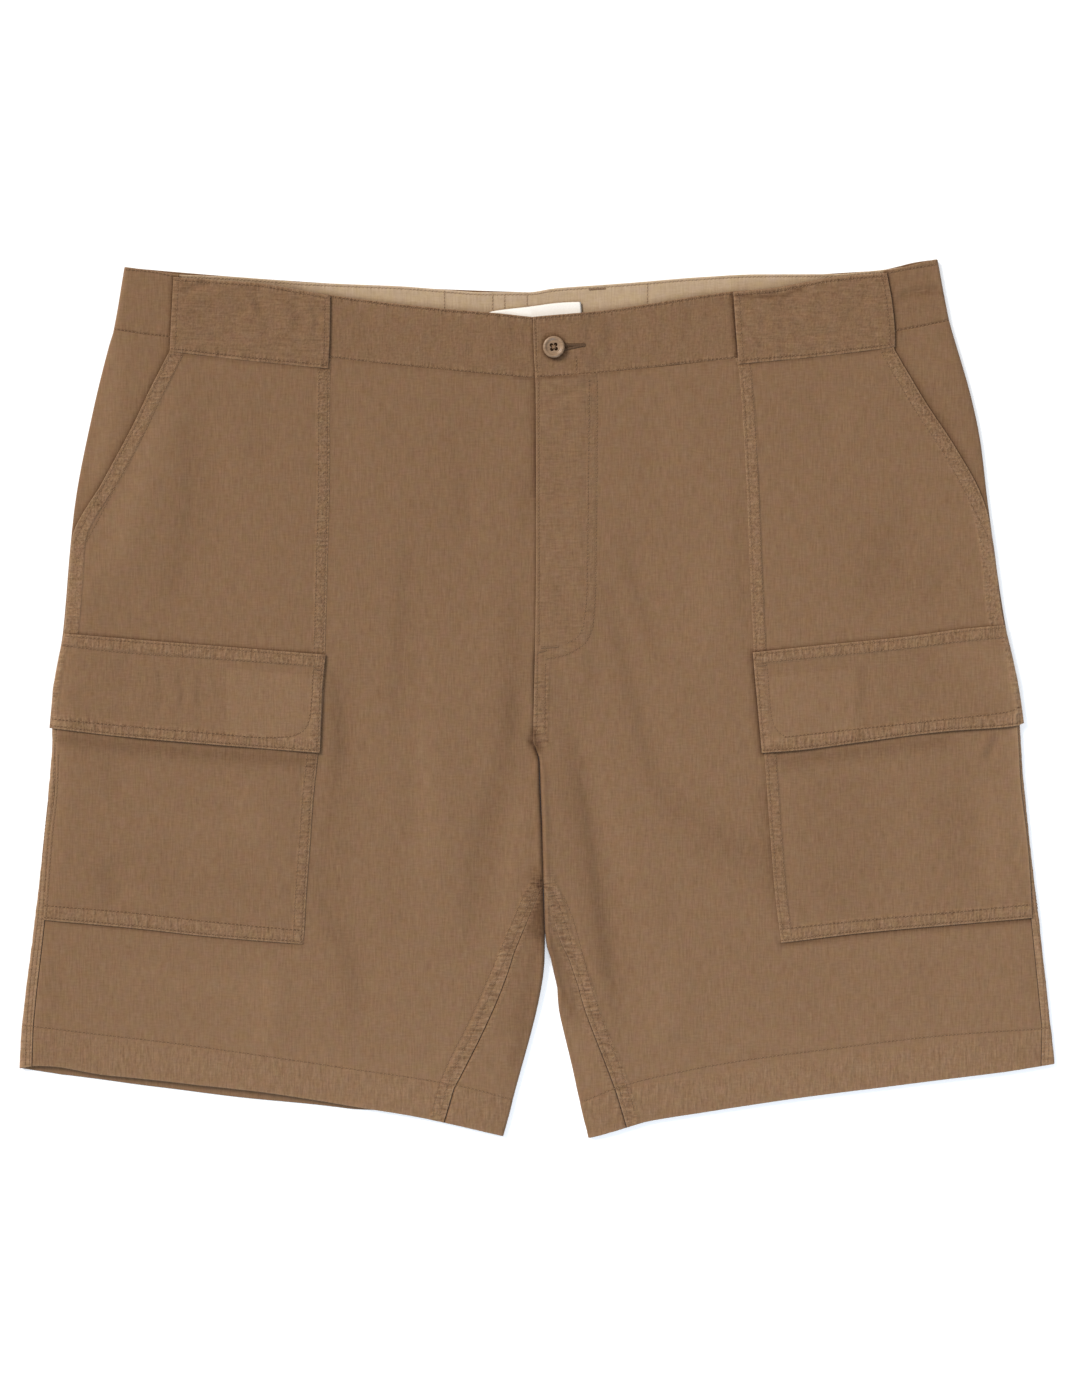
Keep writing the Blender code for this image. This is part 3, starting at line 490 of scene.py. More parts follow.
# ---- lines across a leg --------------------------------------------------------------
class Leg:
    def __init__(self, name, stations):
        self.name, self.stations = name, stations
        self.laps = name == "left"
        self.down = np.array([-s.side_y for s in stations])
        backs = {b.name: b for b in BACKS[name]}
        self.back = np.array([
            (backs[s.name].edge_rise, BACK_SEAM_X, backs[s.name].inner_y) if s.name in backs
            else (0.0, s.inner_x, s.inner_y) for s in stations])

    def v(self, station):
        return self.down[[s.name for s in self.stations].index(station)]

    def column(self, k, v):
        return pchip(self.down, [getattr(s, k) for s in self.stations], v)

    def straight(self, k, v):
        return np.interp(v, self.down, [getattr(s, k) for s in self.stations])

    def lines(self, v):
        """Values of the rows at v, as columns."""
        v = np.asarray(v, float)[:, None]
        row = {k: self.column(k, v) for k in ("side_x", "side_y", "edge_x", "edge_y", "inner_x", "inner_y")}
        row.update({k: self.straight(k, v) for k in ("mouth", "side_wrap", "inner_wrap")})
        row["v"] = v
        row["back_edge_y"] = row["edge_y"] + np.interp(v, self.down, self.back[:, 0])
        row["back_x"] = np.interp(v, self.down, self.back[:, 1])
        row["back_y"] = np.interp(v, self.down, self.back[:, 2])
        row["back_x"] = np.where(v > self.v("flap_edge"), row["inner_x"], row["back_x"])
        row["back_y"] = np.where(v > self.v("flap_edge"), row["inner_y"], row["back_y"])
        row["side_r"] = loft(row["side_x"], row["side_y"], self.laps) / 2
        folded = smooth(-30, -60, row["inner_y"])
        # the legs' inner folds are full there and touch each other below the crotch
        full = 1 + 0.95 * smooth(-28, -50, row["inner_y"]) * smooth(-225, -150, row["inner_y"])
        row["inner_r"] = loft(row["inner_x"], row["inner_y"], False) / 2 * full * (row["inner_y"] < -30)
        close = (np.interp(row["inner_y"], (-176, -169, -161, -150, -131, -119, -60, -43, -30), (0.0, 0.3, 1.9, 2.3, 1.2, 0.8, 0.45, 0.40, 0.0))
                 if self.laps else
                 np.interp(row["inner_y"], (-176, -150, -119, -60, -43, -30), (0.0, 0.55, 0.75, 0.45, 0.40, 0.0)))
        row["inner_x"] = row["inner_x"] - close * (1 if self.laps else -1)
        row["inner_x"] = row["inner_x"] + np.interp(row["inner_y"], (-125, -100, -80, -60, -45, -38, -30.1, -30), (0, 0.5, 1.0, 1.2, 1.8, 2.15, 1.0, 0))
        row["folded"] = folded
        first = np.hypot(row["edge_x"] - row["side_x"], row["edge_y"] - row["side_y"])
        second = np.hypot(row["inner_x"] - row["edge_x"], row["inner_y"] - row["edge_y"])
        row["edge_at"], row["width"] = first, first + second
        first = np.hypot(row["edge_x"] - row["side_x"], row["back_edge_y"] - row["side_y"])
        second = np.hypot(row["back_x"] - row["edge_x"], row["back_y"] - row["back_edge_y"])
        row["back_edge_at"], row["back_width"] = first, first + second
        return row

    def place(self, row, d, upper):
        """(x, y) at the distance d from the side fold along the front or back line."""
        w = np.where(upper, row["width"], row["back_width"])
        e = np.where(upper, row["edge_at"], row["back_edge_at"]) / w
        t = d / w
        a, b, c = (t - e) * (t - 1) / e, t * (t - 1) / (e * (e - 1)), t * (t - e) / (1 - e)
        ix = np.where(upper, row["inner_x"], row["back_x"])
        iy = np.where(upper, row["inner_y"], row["back_y"])
        ey = np.where(upper, row["edge_y"], row["back_edge_y"])
        x = a * row["side_x"] + b * row["edge_x"] + c * ix
        y = a * row["side_y"] + b * ey + c * iy
        for sag in SAGS:
            if sag.leg == self.name:
                names = [s.name for s in self.stations]
                i = names.index(sag.station)
                hat = np.zeros(len(names))
                hat[i] = 1
                share = np.interp(row["v"], self.down, hat)
                drop = (share * sag.depth * smooth(sag.start, sag.full_from, d)
                        * smooth(sag.stop, sag.full_to, d))
                y = y - np.where(upper, 0.0, drop)
        if self.name == "left":                # the waistband's end stands up a little
            share = np.interp(row["v"], self.down, np.eye(len(self.stations))[0])
            y = y + share * 1.8 * smooth(26, 1, d)
        if self.name == "right":               # both hems droop a little more than the solids'
            hat = np.zeros(len(self.stations))
            hat[-1] = 1
            share = np.interp(row["v"], self.down, hat)
            front = pchip((0, 4, 9, 20, 58, 110, 136, 162, 214, 270, 400),
                          (3.0, 1.9, 0.7, 0.2, 3.2, 3.2, 2.7, 2.0, 1.6, 0, 0), np.clip(d, 0, 400))
            back = pchip((0, 5, 12, 18, 25, 31, 40, 51, 83, 110, 162, 214, 240, 270, 400),
                         (3.0, 2.9, 1.9, 0.7, -0.4, -0.5, -0.1, 0.4, 1.7, 2.0, 3.1, 3.2, 0.8, 0, 0), np.clip(d, 0, 400))
            y = y - share * np.where(upper, front, back)
        else:                                  # the left hem's edge waves, and the leg's inner edge bends
            hat = np.zeros(len(self.stations))
            hat[-1] = 1
            share = np.interp(row["v"], self.down, hat)
            wave = pchip((0, 10, 36, 70, 101, 166, 200, 231, 250, 266, 280, 292, 302, 400),
                         (0, 0.6, 1.9, 2.1, 2.0, 0.6, -0.1, -0.8, -1.5, -1.9, -0.8, 0.5, 1.2, 1.2), np.clip(d, 0, 400))
            y = y - share * wave
            bend = pchip((-400, -288, -281, -274, -264.5, -255, -245, -225, -206, -196, -186.5, -176, -160, 400),
                         (0, -0.9, -1.1, -1.9, -2.5, -2.8, -2.5, -2.1, -1.8, -0.7, 0.8, 0.3, 0, 0), np.clip(y, -400, 400))
            x = x + bend * smooth(w - 24, w - 5, d)
        return x, y

    def sheet(self, row, a, where, relief=True):
        """Middle points and outward normals. a is measured along the cloth from a fold's outermost
        point: plus over the front, minus under the back. where is "side" or "inner"."""
        r = np.maximum(row["side_r"] if where == "side" else row["inner_r"], 1e-4)
        quarter = math.pi * r / 2
        turn = np.clip(a / r, -math.pi / 2, math.pi / 2)
        d = np.where(np.abs(a) >= quarter, r + np.abs(a) - quarter, r * (1 - np.cos(turn)))
        high = np.sin(turn)
        upper = a > 0
        width = np.where(upper, row["width"], row["back_width"])
        at = d if where == "side" else width - d
        x, y = self.place(row, at, upper)
        x2, y2 = self.place(row, at + 0.5, upper)
        x1, y1 = self.place(row, at - 0.5, upper)
        tx, ty = x2 - x1, y2 - y1
        ln = np.hypot(tx, ty) * (1 if where == "side" else -1)
        tx, ty = tx / ln, ty / ln
        flat_high = loft(x, y, self.laps)
        rolled_top = 2 * r
        z_up = np.where(np.abs(turn) < math.pi / 2, rolled_top, flat_high + (rolled_top - flat_high) * np.exp(-(d - r) / 4))
        z = HALF + z_up / 2 * (1 + high)
        if where == "inner":
            flatless = row["inner_r"] <= 0
            z = np.where(flatless, HALF + np.where(upper | (a == 0), flat_high, 0.0), z)
            high = np.where(flatless, np.where(upper | (a == 0), 1.0, -1.0), high)
        if relief:
            into = smooth(1.0, 14.0, d) if where == "side" else np.where(
                row["inner_r"] > 0, smooth(1.0, 12.0, d), 1.0)
            z = z + np.where(upper, front_relief(x, y), -back_relief(x, y)) * into * np.abs(high)
        inwards = -np.sqrt(np.clip(1 - high ** 2, 0, 1))
        n = np.stack([tx * inwards, ty * inwards, high], -1)
        return np.stack([x, y, z], -1), n

    def seam_at(self, row, which):
        """Distance along the cloth from the fold to the seam."""
        r = np.maximum(row["side_r"] if which == "side" else row["inner_r"], 1e-4)
        wrap = row["side_wrap"] if which == "side" else row["inner_wrap"]
        quarter = math.pi * r / 2
        return np.where(wrap > r, quarter + wrap - r, wrap / r * quarter)

    def outline_x(self, y):
        return pchip(self.down, [s.side_x for s in self.stations], -np.asarray(y, float))


RIGHT_LEG, LEFT_LEG = Leg("right", RIGHT), Leg("left", LEFT)
LEGS = {"right": RIGHT_LEG, "left": LEFT_LEG}


def front_top(x, y, leg):
    """Height of the front cloth's middle at (x, y), falling away at the side fold."""
    r = loft(leg.outline_x(y), y, leg.laps) / 2
    d = np.maximum((leg.outline_x(y) - x) * (1 if leg.laps else -1), 0) * 0.99
    t = np.clip(1 - d / r, 0, 1)
    rolled = r * (1 + np.sqrt(1 - t * t))
    flat = loft(x, y, leg.laps)
    z = np.where(d < r, rolled, flat + (2 * r - flat) * np.exp(-(d - r) / 4))
    return HALF + z + front_relief(x, y) * smooth(1.0, 14.0, d)


# ---- shells --------------------------------------------------------------------------
PIECES = {}


def stops(total, step, fine=(), border=(0.0, 0.1, 0.28, 0.6, 1.1)):
    """Places along a side of total mm: close together at both ends and round each of fine
    (mm from the start, or from the end if under 0), and about step apart between."""
    near_end = [total - b for b in border]
    wanted = list(border) + near_end
    for f in fine:
        c = f if f > 0 else total + f
        wanted += [c + o for o in (-1.3, -0.75, -0.4, 0.0, 0.4, 0.75, 1.3)]
    wanted = sorted(w for w in wanted if 0 <= w <= total)
    kept = [wanted[0]]
    for w in wanted[1:]:
        if w - kept[-1] > 0.09 or w == total:
            kept.append(w)
    out = [kept[0]]
    for w in kept[1:]:
        n = int(math.ceil((w - out[-1]) / step))
        out += [out[-1] + (w - out[-1]) * k / n for k in range(1, n + 1)] if n > 1 else [w]
    return np.array(out)


def edge_round(e, r=THIN):
    return np.sqrt(np.clip(1 - (1 - np.clip(e / r, 0, 1)) ** 2, 0, 1))


def make_object(name, verts, quads, attributes=None, uv=None, tris=None):
    mesh = bpy.data.meshes.new(name)
    faces = [f for f in (quads, tris) if f is not None and len(f)]
    counts = sum(len(f) for f in faces)
    mesh.vertices.add(len(verts))
    mesh.vertices.foreach_set("co", (np.asarray(verts) * MM).astype(np.float32).ravel())
    loops = np.concatenate([np.asarray(f).ravel() for f in faces if len(f)])
    sizes = np.concatenate([np.full(len(f), np.asarray(f).shape[1]) for f in faces if len(f)])
    mesh.loops.add(len(loops))
    mesh.loops.foreach_set("vertex_index", loops.astype(np.int32))
    mesh.polygons.add(counts)
    mesh.polygons.foreach_set("loop_start", np.r_[0, np.cumsum(sizes)[:-1]].astype(np.int32))
    mesh.update(calc_edges=True)
    mesh.validate(verbose=False)
    for key, values in (attributes or {}).items():
        a = mesh.attributes.new(key, "FLOAT", "POINT")
        a.data.foreach_set("value", np.asarray(values, np.float32).ravel())
    if uv is not None:
        layer = mesh.uv_layers.new(name="cloth")
        layer.uv.foreach_set("vector", (np.asarray(uv, np.float32)[loops]).ravel())
    mesh.polygons.foreach_set("use_smooth", np.ones(counts, bool))
    obj = bpy.data.objects.new(name, mesh)
    bpy.context.scene.collection.objects.link(obj)
    return obj


def shell(name, outer, inner, attributes, grain=0.0, shift=(0, 0), uv=None):
    """A closed piece of cloth from its outer and inner grids, which share their border."""
    rows, cols = outer.shape[:2]
    top = np.arange(rows * cols).reshape(rows, cols)
    low = top.copy()
    low[1:-1, 1:-1] = rows * cols + np.arange((rows - 2) * (cols - 2)).reshape(rows - 2, cols - 2)

    def quads(i):
        return np.stack([i[:-1, :-1], i[1:, :-1], i[1:, 1:], i[:-1, 1:]], -1).reshape(-1, 4)

    # which way round: the outer grid's faces point away from the inner grid
    c = (rows // 2, cols // 2)
    p = outer[c[0]:c[0] + 2, c[1]:c[1] + 2]
    normal = np.cross(p[1, 0] - p[0, 0], p[0, 1] - p[0, 0])
    out = normal @ (outer[c] - inner[c]) > 0
    a, b = quads(top), quads(low)
    faces = np.concatenate([a if out else a[:, ::-1], b[:, ::-1] if out else b])
    verts = np.concatenate([outer.reshape(-1, 3), inner[1:-1, 1:-1].reshape(-1, 3)])
    verts[:, 2] = np.maximum(verts[:, 2], 0.0)
    for key in ("tone", "band", "upright", "rough", "seam", "rim"):
        attributes.setdefault(key, np.zeros(outer.shape[:2]))
    attrs = {k: np.concatenate([v.ravel(), v[1:-1, 1:-1].ravel() * 0]) for k, v in attributes.items()}
    if uv is None:
        turn = math.radians(grain)
        u = verts[:, 0] * math.cos(turn) + verts[:, 1] * math.sin(turn) + shift[0]
        w = -verts[:, 0] * math.sin(turn) + verts[:, 1] * math.cos(turn) + shift[1]
        uv = np.stack([u, w], 1) * MM
    obj = make_object(name, verts, faces, attrs, uv)
    PIECES[name] = obj
    return obj


def border_distances(p):
    """Distances along the cloth from the first and last row and column (t, b, l, r)."""
    dr = np.linalg.norm(np.diff(p, axis=0), axis=2)
    dc = np.linalg.norm(np.diff(p, axis=1), axis=2)
    t = np.concatenate([np.zeros((1, p.shape[1])), np.cumsum(dr, 0)])
    l = np.concatenate([np.zeros((p.shape[0], 1)), np.cumsum(dc, 1)], 1)
    return t, t[-1:] - t, l, l[:, -1:] - l


# A sewing line: what it is sewn on, its points in mm, how deep it draws the cloth in, and
# the stitches' pitch (0 for a line with no thread, such as a seam's edge), and how big the needle holes are.
Sewn = namedtuple("Sewn", "name on points depth pitch side holes")
SEWN = []


def sew(name, on, points, depth=0.12, pitch=2.5, side="front", holes=1.0):
    SEWN.append(Sewn(name, on.split(), points, depth, pitch, side, holes))


def grooves(name, x, y, side="front"):
    """What the sewing draws in at (x, y) on a piece, and how near a line is (0 to 1)."""
    total, near = np.zeros(x.shape), np.zeros(x.shape)
    for s in SEWN:
        if name not in s.on or s.side != side:
            continue
        d, _, _ = from_line(x, y, s.points)
        ridges = 1 + 0.35 * noise(x / 2.6 + 7, y / 2.6, 3)
        deep = s.depth * (0.4 + 0.6 * s.holes)
        total = np.maximum(total, deep * ridges * np.exp(-(d / 0.75) ** 2) + 0.35 * deep * np.exp(-(d / 2.4) ** 2))
        near = np.maximum(near, s.holes * np.exp(-(d / 0.7) ** 2))
    return total, near


def puckers(x, y, tx, ty, band, seed, size=3.6, height=0.19):
    """Short wrinkles across a sewn band. (tx, ty) is the way that the band runs."""
    s, q = x * tx + y * ty, -x * ty + y * tx
    n = noise(s / size + 0.35 * q / size, q / (2.6 * size), seed) + 0.6 * noise(s / (0.55 * size), q / size, seed + 1)
    return height * band * n


def patch(name, leg, top, bottom, left, right, offset, step, bands, fine, plateau=0.0,
          grain=0.0, wrinkle=0.0, seed=1, droop=None, height=None, extra=None, thick=2 * THIN,
          paint=None, rough=0.0, bandy=1.0, raised=0.20, streaks=0.0,
          pebble=0.0, pucker=0.19):
    """A piece that lies on the front cloth: its edges in grid points, left to right and top
    to bottom; offset is its middle over the front cloth's. bands are the widths in mm of the
    sewn edges (top, bottom, left, right), fine the sewing lines' distances along and across."""
    T, B, L, R = (dense(g(q), 1.0) for q in (top, bottom, left, right))
    lt, ll = (length(T) + length(B)) / 2, (length(L) + length(R)) / 2
    s, t = stops(lt, step, fine[0]) / lt, stops(ll, step, fine[1]) / ll

    def read(p, q):
        return along(p, q * length(p))

    S, V = s[None, :, None], t[:, None, None]
    pt, pb, pl, pr = read(T, s)[None], read(B, s)[None], read(L, t)[:, None], read(R, t)[:, None]
    corners = ((1 - S) * (1 - V) * T[0] + S * (1 - V) * T[-1] + (1 - S) * V * B[0] + S * V * B[-1])
    # the side edges start and end at the corners
    pl = pl + (T[0] - L[0]) * (1 - V) + (B[0] - L[-1]) * V
    pr = pr + (T[-1] - R[0]) * (1 - V) + (B[-1] - R[-1]) * V
    xy = (1 - V) * pt + V * pb + (1 - S) * pl + S * pr - corners
    x, y = xy[..., 0], xy[..., 1]
    et, eb, el, er = border_distances(xy)
    e = np.minimum(np.minimum(et, eb), np.minimum(el, er))
    base = height(x, y) if height else front_top(x, y, leg)
    band, upright = np.zeros(x.shape), np.zeros(x.shape)
    relief = np.zeros(x.shape)
    inside = np.ones(x.shape)
    for dist, w, (tx, ty), k in ((et, bands[0], (1, 0.06), 0), (eb, bands[1], (1, 0.06), 1),
                                 (el, bands[2], (0.1, 1), 2), (er, bands[3], (0.1, 1), 3)):
        if w <= 0:
            continue
        b = smooth(w + 1.2, w - 0.4, dist)
        if k < 2:
            band = np.maximum(band, b)
        else:
            upright = np.maximum(upright, b)
        relief += puckers(x, y, tx, ty, b * smooth(0.2, 1.2, dist), seed + 5 * k, 3.6, pucker)
        inside *= smooth(w, w + 9, dist)
    sunk, near = grooves(name, x, y)
    relief += raised * np.maximum(band, upright) + plateau * inside
    if wrinkle:
        relief += wrinkle * (noise(x / 9 + y / 30, y / 22, seed + 40) + 0.6 * noise(x / 5, y / 13 + x / 40, seed + 41))
    if extra is not None:
        relief += extra(x, y)
    drop = droop(x, y, et, eb, el, er) if droop is not None else 0.0
    mid = base + offset + drop
    f = edge_round(e)
    up = mid + f * (thick / 2 + relief - sunk)
    down = mid - f * thick / 2
    # rim: where the material paints a highlight along the piece's edges
    rim = np.exp(-(e / 0.9) ** 2)
    # tone: painted shade beside the edges of what lies on the piece, and a little lighter in the sewn bands
    tone = beside(name, x, y) + 0.03 * np.maximum(band, upright)
    if leg is not None:
        out = np.abs(leg.outline_x(y) - x)
        # the folds' painted light and shade, and a painted highlight along the side fold
        tone = tone + fold_painted_shading(x, y) + 0.26 * np.exp(-(out / 2.6) ** 2) + 0.05 * np.exp(-(out / 11.0) ** 2)
    if paint is not None:
        tone = tone + paint(x, y)
    outer, inner = np.stack([x, y, up], -1), np.stack([x, y, down], -1)
    if grain > 45:                            # the cloth is cut across: so are its bands
        band, upright = upright, band
    band = np.maximum(band, streaks)
    return shell(name, outer, inner, {
        "band": band * bandy, "upright": upright * bandy, "seam": near, "rim": rim,
        "rough": rough + pebble * np.maximum(band, upright) * (streaks == 0),
        "tone": tone}, grain, (seed * 17.3, seed * 5.1))


def out_of(n):
    """Half the thickness on the outer side: the underside keeps lying on the surface."""
    return HALF + (THIN - HALF) * smooth(-0.4, 0.4, n[..., 2])


def leg_front(leg):
    """The front panel, from under the side seam's strip to the inner seam or the fly, its top under the waistband."""
    name = f"front_{leg.name}"
    under_band = 2.6
    total = leg.v("hem") - leg.v("waist") + under_band
    v = leg.v("waist") - under_band + stops(total, 2.7, (2.5, -23.6, -22.4))
    row = leg.lines(v)
    r, ri = row["side_r"], np.maximum(row["inner_r"], 1e-4)
    q, qi = math.pi * r / 2, np.where(row["inner_r"] > 0, math.pi * ri / 2, 0)
    seam, iseam = leg.seam_at(row, "side"), np.where(row["inner_r"] > 0, leg.seam_at(row, "inner"), 0)
    full = q - r + row["width"] + qi - np.where(row["inner_r"] > 0, ri, 0)
    edge = q - r + row["edge_at"]
    first, last = seam - 1.25, full - iseam - 0.04 + 0.36 * smooth(-31, -60, row["inner_y"])
    under_fly = 0.0 if leg.laps else smooth(-31, -22, row["inner_y"])   # the seam is closed there
    last = last + 3.2 * under_fly
    a0 = np.array([0, 0.1, 0.3, 0.7, 1.1, 1.35, 1.6, 1.9, 2.5, 3.4])            # from under the side seam
    a3 = np.array([0, 0.06, 0.18, 0.5, 1.1, 1.6, 1.95, 2.3, 2.9, 3.6, 4.6, 5.6, 6.6, 7.3, 7.8, 8.3, 9.2])
    inner_part = np.r_[a3, np.linspace(9.2, 42, 25)[1:]]         # from the inner seam
    mid1 = (first + 3.4) + (edge - first - 3.4) * np.linspace(0, 1, 52)[None, 1:]
    stop = last - 42
    mid2 = edge + (stop - edge) * np.linspace(0, 1, 43)[None, 1:-1]
    a = np.concatenate([first + a0[None], mid1, mid2, last - inner_part[None, ::-1]], 1)
    # read from the side, except near an inner fold
    p, n = leg.sheet(row, a, "side")
    from_inner = full - a
    p2, n2 = leg.sheet(row, from_inner, "inner")
    use = ((row["inner_r"] > 0) & (from_inner < 60))[..., None] * smooth(60, 45, from_inner)[..., None]
    p = p * (1 - use) + p2 * use
    n = n * (1 - use) + n2 * use
    n /= np.linalg.norm(n, axis=2)[..., None]
    et, eb, el, er = border_distances(p)
    e = np.minimum(np.minimum(et, eb), np.minimum(el, er))
    x, y = p[..., 0], p[..., 1]
    tuck = np.maximum(1.05 * smooth(1.75, 0.9, el), 1.15 * smooth(2.5, 1.4, et))
    tuck = np.maximum(tuck, 0.95 * under_fly * smooth(5.4, 2.6, er))
    hem = smooth(24.6, 23.2, eb)
    relief = 0.10 * hem + puckers(x, y, 1, -0.1 if leg.name == "right" else 0.1,
                                  hem * (smooth(12, 23, eb) + smooth(5, 1, eb)) * smooth(0.3, 2, eb), 61, 4.6, 0.07)
    open_inner = smooth(-108, -122, y)      # the inseam's sewn band, and the crotch seam's
    in_band = smooth(10.4, 9.0, er) * (1.35 * open_inner if leg.name == "right" else np.maximum(
        1.35 * open_inner, smooth(30, 10, y) * smooth(-34, -28, y)))
    relief += 0.12 * np.minimum(in_band, 1.3) + puckers(x, y, 0.1, 1, np.minimum(in_band, 1.3) * smooth(0.2, 1.2, er), 67, 3.4, 0.07)
    gathered = smooth(9, 3, et) * smooth(-0.2, 2.8, et - 1.5)
    relief += puckers(x, y, 1, 0.05, gathered, 73, 5.0, 0.12)
    if leg.laps:
        j = placket(x, y)
        relief += 0.02 * j + puckers(x, y, 0.1, 1, j * smooth(0.3, 1.6, er), 71, 5.5, 0.06)
        in_band = np.maximum(in_band, 0.35 * j)
        pebbled = 0.8 * np.clip(j - placket(x + 6.4, y - 2.0), 0, 1)
    sunk, near = grooves(name, x, y)
    f = edge_round(np.minimum(np.minimum(et, eb), el)) * edge_round(er, 0.16)
    outer = p + n * (f * (THIN + relief - sunk) - tuck)[..., None]
    inner = p - n * (f * THIN + tuck)[..., None]
    # tone: painted light and shade from the folds and beside edges; rim: where the material paints a highlight along
    # the edges
    tone = fold_painted_shading(x, y) + beside(name, x, y)
    return shell(name, outer, inner, {"band": 0.55 * hem, "upright": in_band, "seam": near, "tone": tone,
                                      "rough": pebbled if leg.laps else 0 * x,
                                      "rim": np.exp(-(er / 0.9) ** 2) + np.exp(-(eb / 0.9) ** 2)},
                 0, (31.0 if leg.laps else 5.0, 3.0))


def placket(x, y):
    """The fly's sewn-down facing: 1 between the fly edge and the curved stitching."""
    outer = line(FLY_OUTER)
    d, side, _ = from_line(x, y, outer)
    inside = np.where(side > 0, 1, -1) * d         # right of the way down is towards the fly
    return smooth(-0.6, 1.6, inside) * (x > -2) * (y < 212)


def leg_back(leg):
    """The back panel: wraps, folds and underside, from the side seam to the inner seam."""
    name = f"back_{leg.name}"
    under_band = 2.2
    total = leg.v("hem") - leg.v("waist") + under_band
    v = leg.v("waist") - under_band + stops(total, 3.6, (2.2, -23.6))
    row = leg.lines(v)
    r, ri = row["side_r"], np.maximum(row["inner_r"], 1e-4)
    q, qi = math.pi * r / 2, math.pi * ri / 2
    folded = row["inner_r"] > 0
    seam = leg.seam_at(row, "side") - (0.12 if leg.name == "right" else 0.02)
    iseam = np.where(folded, leg.seam_at(row, "inner") - 0.05, -2.0)
    # the side wrap and the turn round the fold
    k = np.array([0, 0.04, 0.12, 0.25, 0.4, 0.6, 0.8, 1.0])
    wrap_end = np.where(seam > q, q, seam * 0.5)
    first = seam + (wrap_end - seam) * k[None]
    turn = wrap_end + (-q - wrap_end) * np.linspace(0, 1, 9)[None, 1:]
    a1 = np.concatenate([first, turn], 1)
    p1, n1 = leg.sheet(row, a1, "side")
    flat_width = row["back_width"] - r - np.where(folded, ri, 0.0)
    under = -(q + flat_width * np.linspace(0, 1, 62)[None, 1:-1])
    p2, n2 = leg.sheet(row, under, "side")
    # the inner turn and its wrap, or the centre-back seam
    kk = np.concatenate([np.linspace(0, 1, 9)[:-1], 1 + np.linspace(0, 1, 17)])
    kk = kk[None] + 0 * ri
    turn_in = -qi + (qi + np.minimum(iseam, qi)) * np.clip(kk, 0, 1)
    past = np.maximum(iseam - qi, 0) * np.clip(kk - 1, 0, 1)
    a3 = np.where(folded, turn_in + past, 0)
    p3, n3 = leg.sheet(row, np.where(folded, a3, -1.0), "inner")
    # where there is no inner fold, run flat to the seam
    d_flat = row["back_width"] - 0.15 - (2.0 - kk) * 3.0
    xf, yf = leg.place(row, d_flat, np.zeros_like(d_flat, bool))
    zf = HALF - back_relief(xf, yf)
    pf = np.stack([xf, yf, zf + 0 * xf], -1)
    nf = np.zeros_like(pf)
    nf[..., 2] = -1
    fold3 = (folded & np.ones_like(kk, bool))[..., None]
    p3, n3 = np.where(fold3, p3, pf), np.where(fold3, n3, nf)
    p2_scale = np.where(folded, 1.0, (row["back_width"] - r - 6.2) / np.maximum(flat_width, 1))
    under = -(q + flat_width * p2_scale * np.linspace(0, 1, 62)[None, 1:-1])
    p2, n2 = leg.sheet(row, under, "side")
    p, n = np.concatenate([p1, p2, p3], 1), np.concatenate([n1, n2, n3], 1)
    n /= np.maximum(np.linalg.norm(n, axis=2), 1e-9)[..., None]
    et, eb, el, er = border_distances(p)
    e = np.minimum(np.minimum(et, eb), np.minimum(el, er))
    x, y, z = p[..., 0], p[..., 1], p[..., 2]
    up = n[..., 2] > 0.05
    hem = smooth(24.6, 23.2, eb)
    # the sewn strip at the side seam, on the front side, and the inner seam's edge
    strip = up * smooth(9.0, 7.0, el) * (np.abs(x) > 200)
    wrap = up * smooth(5.0, 3.0, er) * (np.abs(x) < 200) * 0.8
    relief = np.where(up, 0.12, 0.0) * hem + (0.16 if leg.laps else 0.22) * strip
    relief += puckers(x, y, 0.1, 1, strip * smooth(0.2, 1, el), 77, 3.2, 0.2)
    relief += puckers(x, y, 0.1, 1, wrap * smooth(0.2, 1, er), 79, 3.6, 0.12)
    sunk, near = grooves(name, x, y)
    sunk_b, near_b = grooves(name, x, y, "back")
    sunk, near = np.where(up, sunk, sunk_b), np.where(up, near, near_b)
    centre = smooth(9, 7.4, er) * smooth(-30, 0, y)
    hollow = np.where(up, 0.0, 0.10 * (1 - hem) + 0.05 * noise(x / 3, y / 3, 9) * (1 - centre))
    tuck = 1.0 * smooth(2.7, 1.6, et)
    f = edge_round(np.minimum(et, eb)) * edge_round(el, 0.30) * edge_round(er, 0.16)
    outer = p + n * (f * (out_of(n) + relief - sunk - np.maximum(hollow, 0)) - tuck)[..., None]
    inner = p - n * (f * THIN * 0.7 + tuck)[..., None]
    upright = np.maximum(strip, np.maximum(centre, wrap))
    # painted light: the sewn strip at the side seam is lighter, as it faces the light, and a painted highlight runs
    # along the side fold; with painted shade beside edges and from the folds, and rim for the material's painted edge
    # highlight
    painted_edge_highlight = np.exp(-(np.abs(leg.outline_x(y) - x) / 3.0) ** 2)
    tone = up * ((0.20 if leg.laps else 0.30) * strip + 0.16 * painted_edge_highlight + beside(name, x, y) + 0.5 * fold_painted_shading(x, y))
    return shell(name, outer, inner, {"band": 0.55 * hem, "upright": upright, "seam": near, "tone": tone,
                                      "rim": np.exp(-(np.minimum(er, eb) / 0.9) ** 2)},
                 0, (63.0 if leg.laps else 47.0, 9.0))


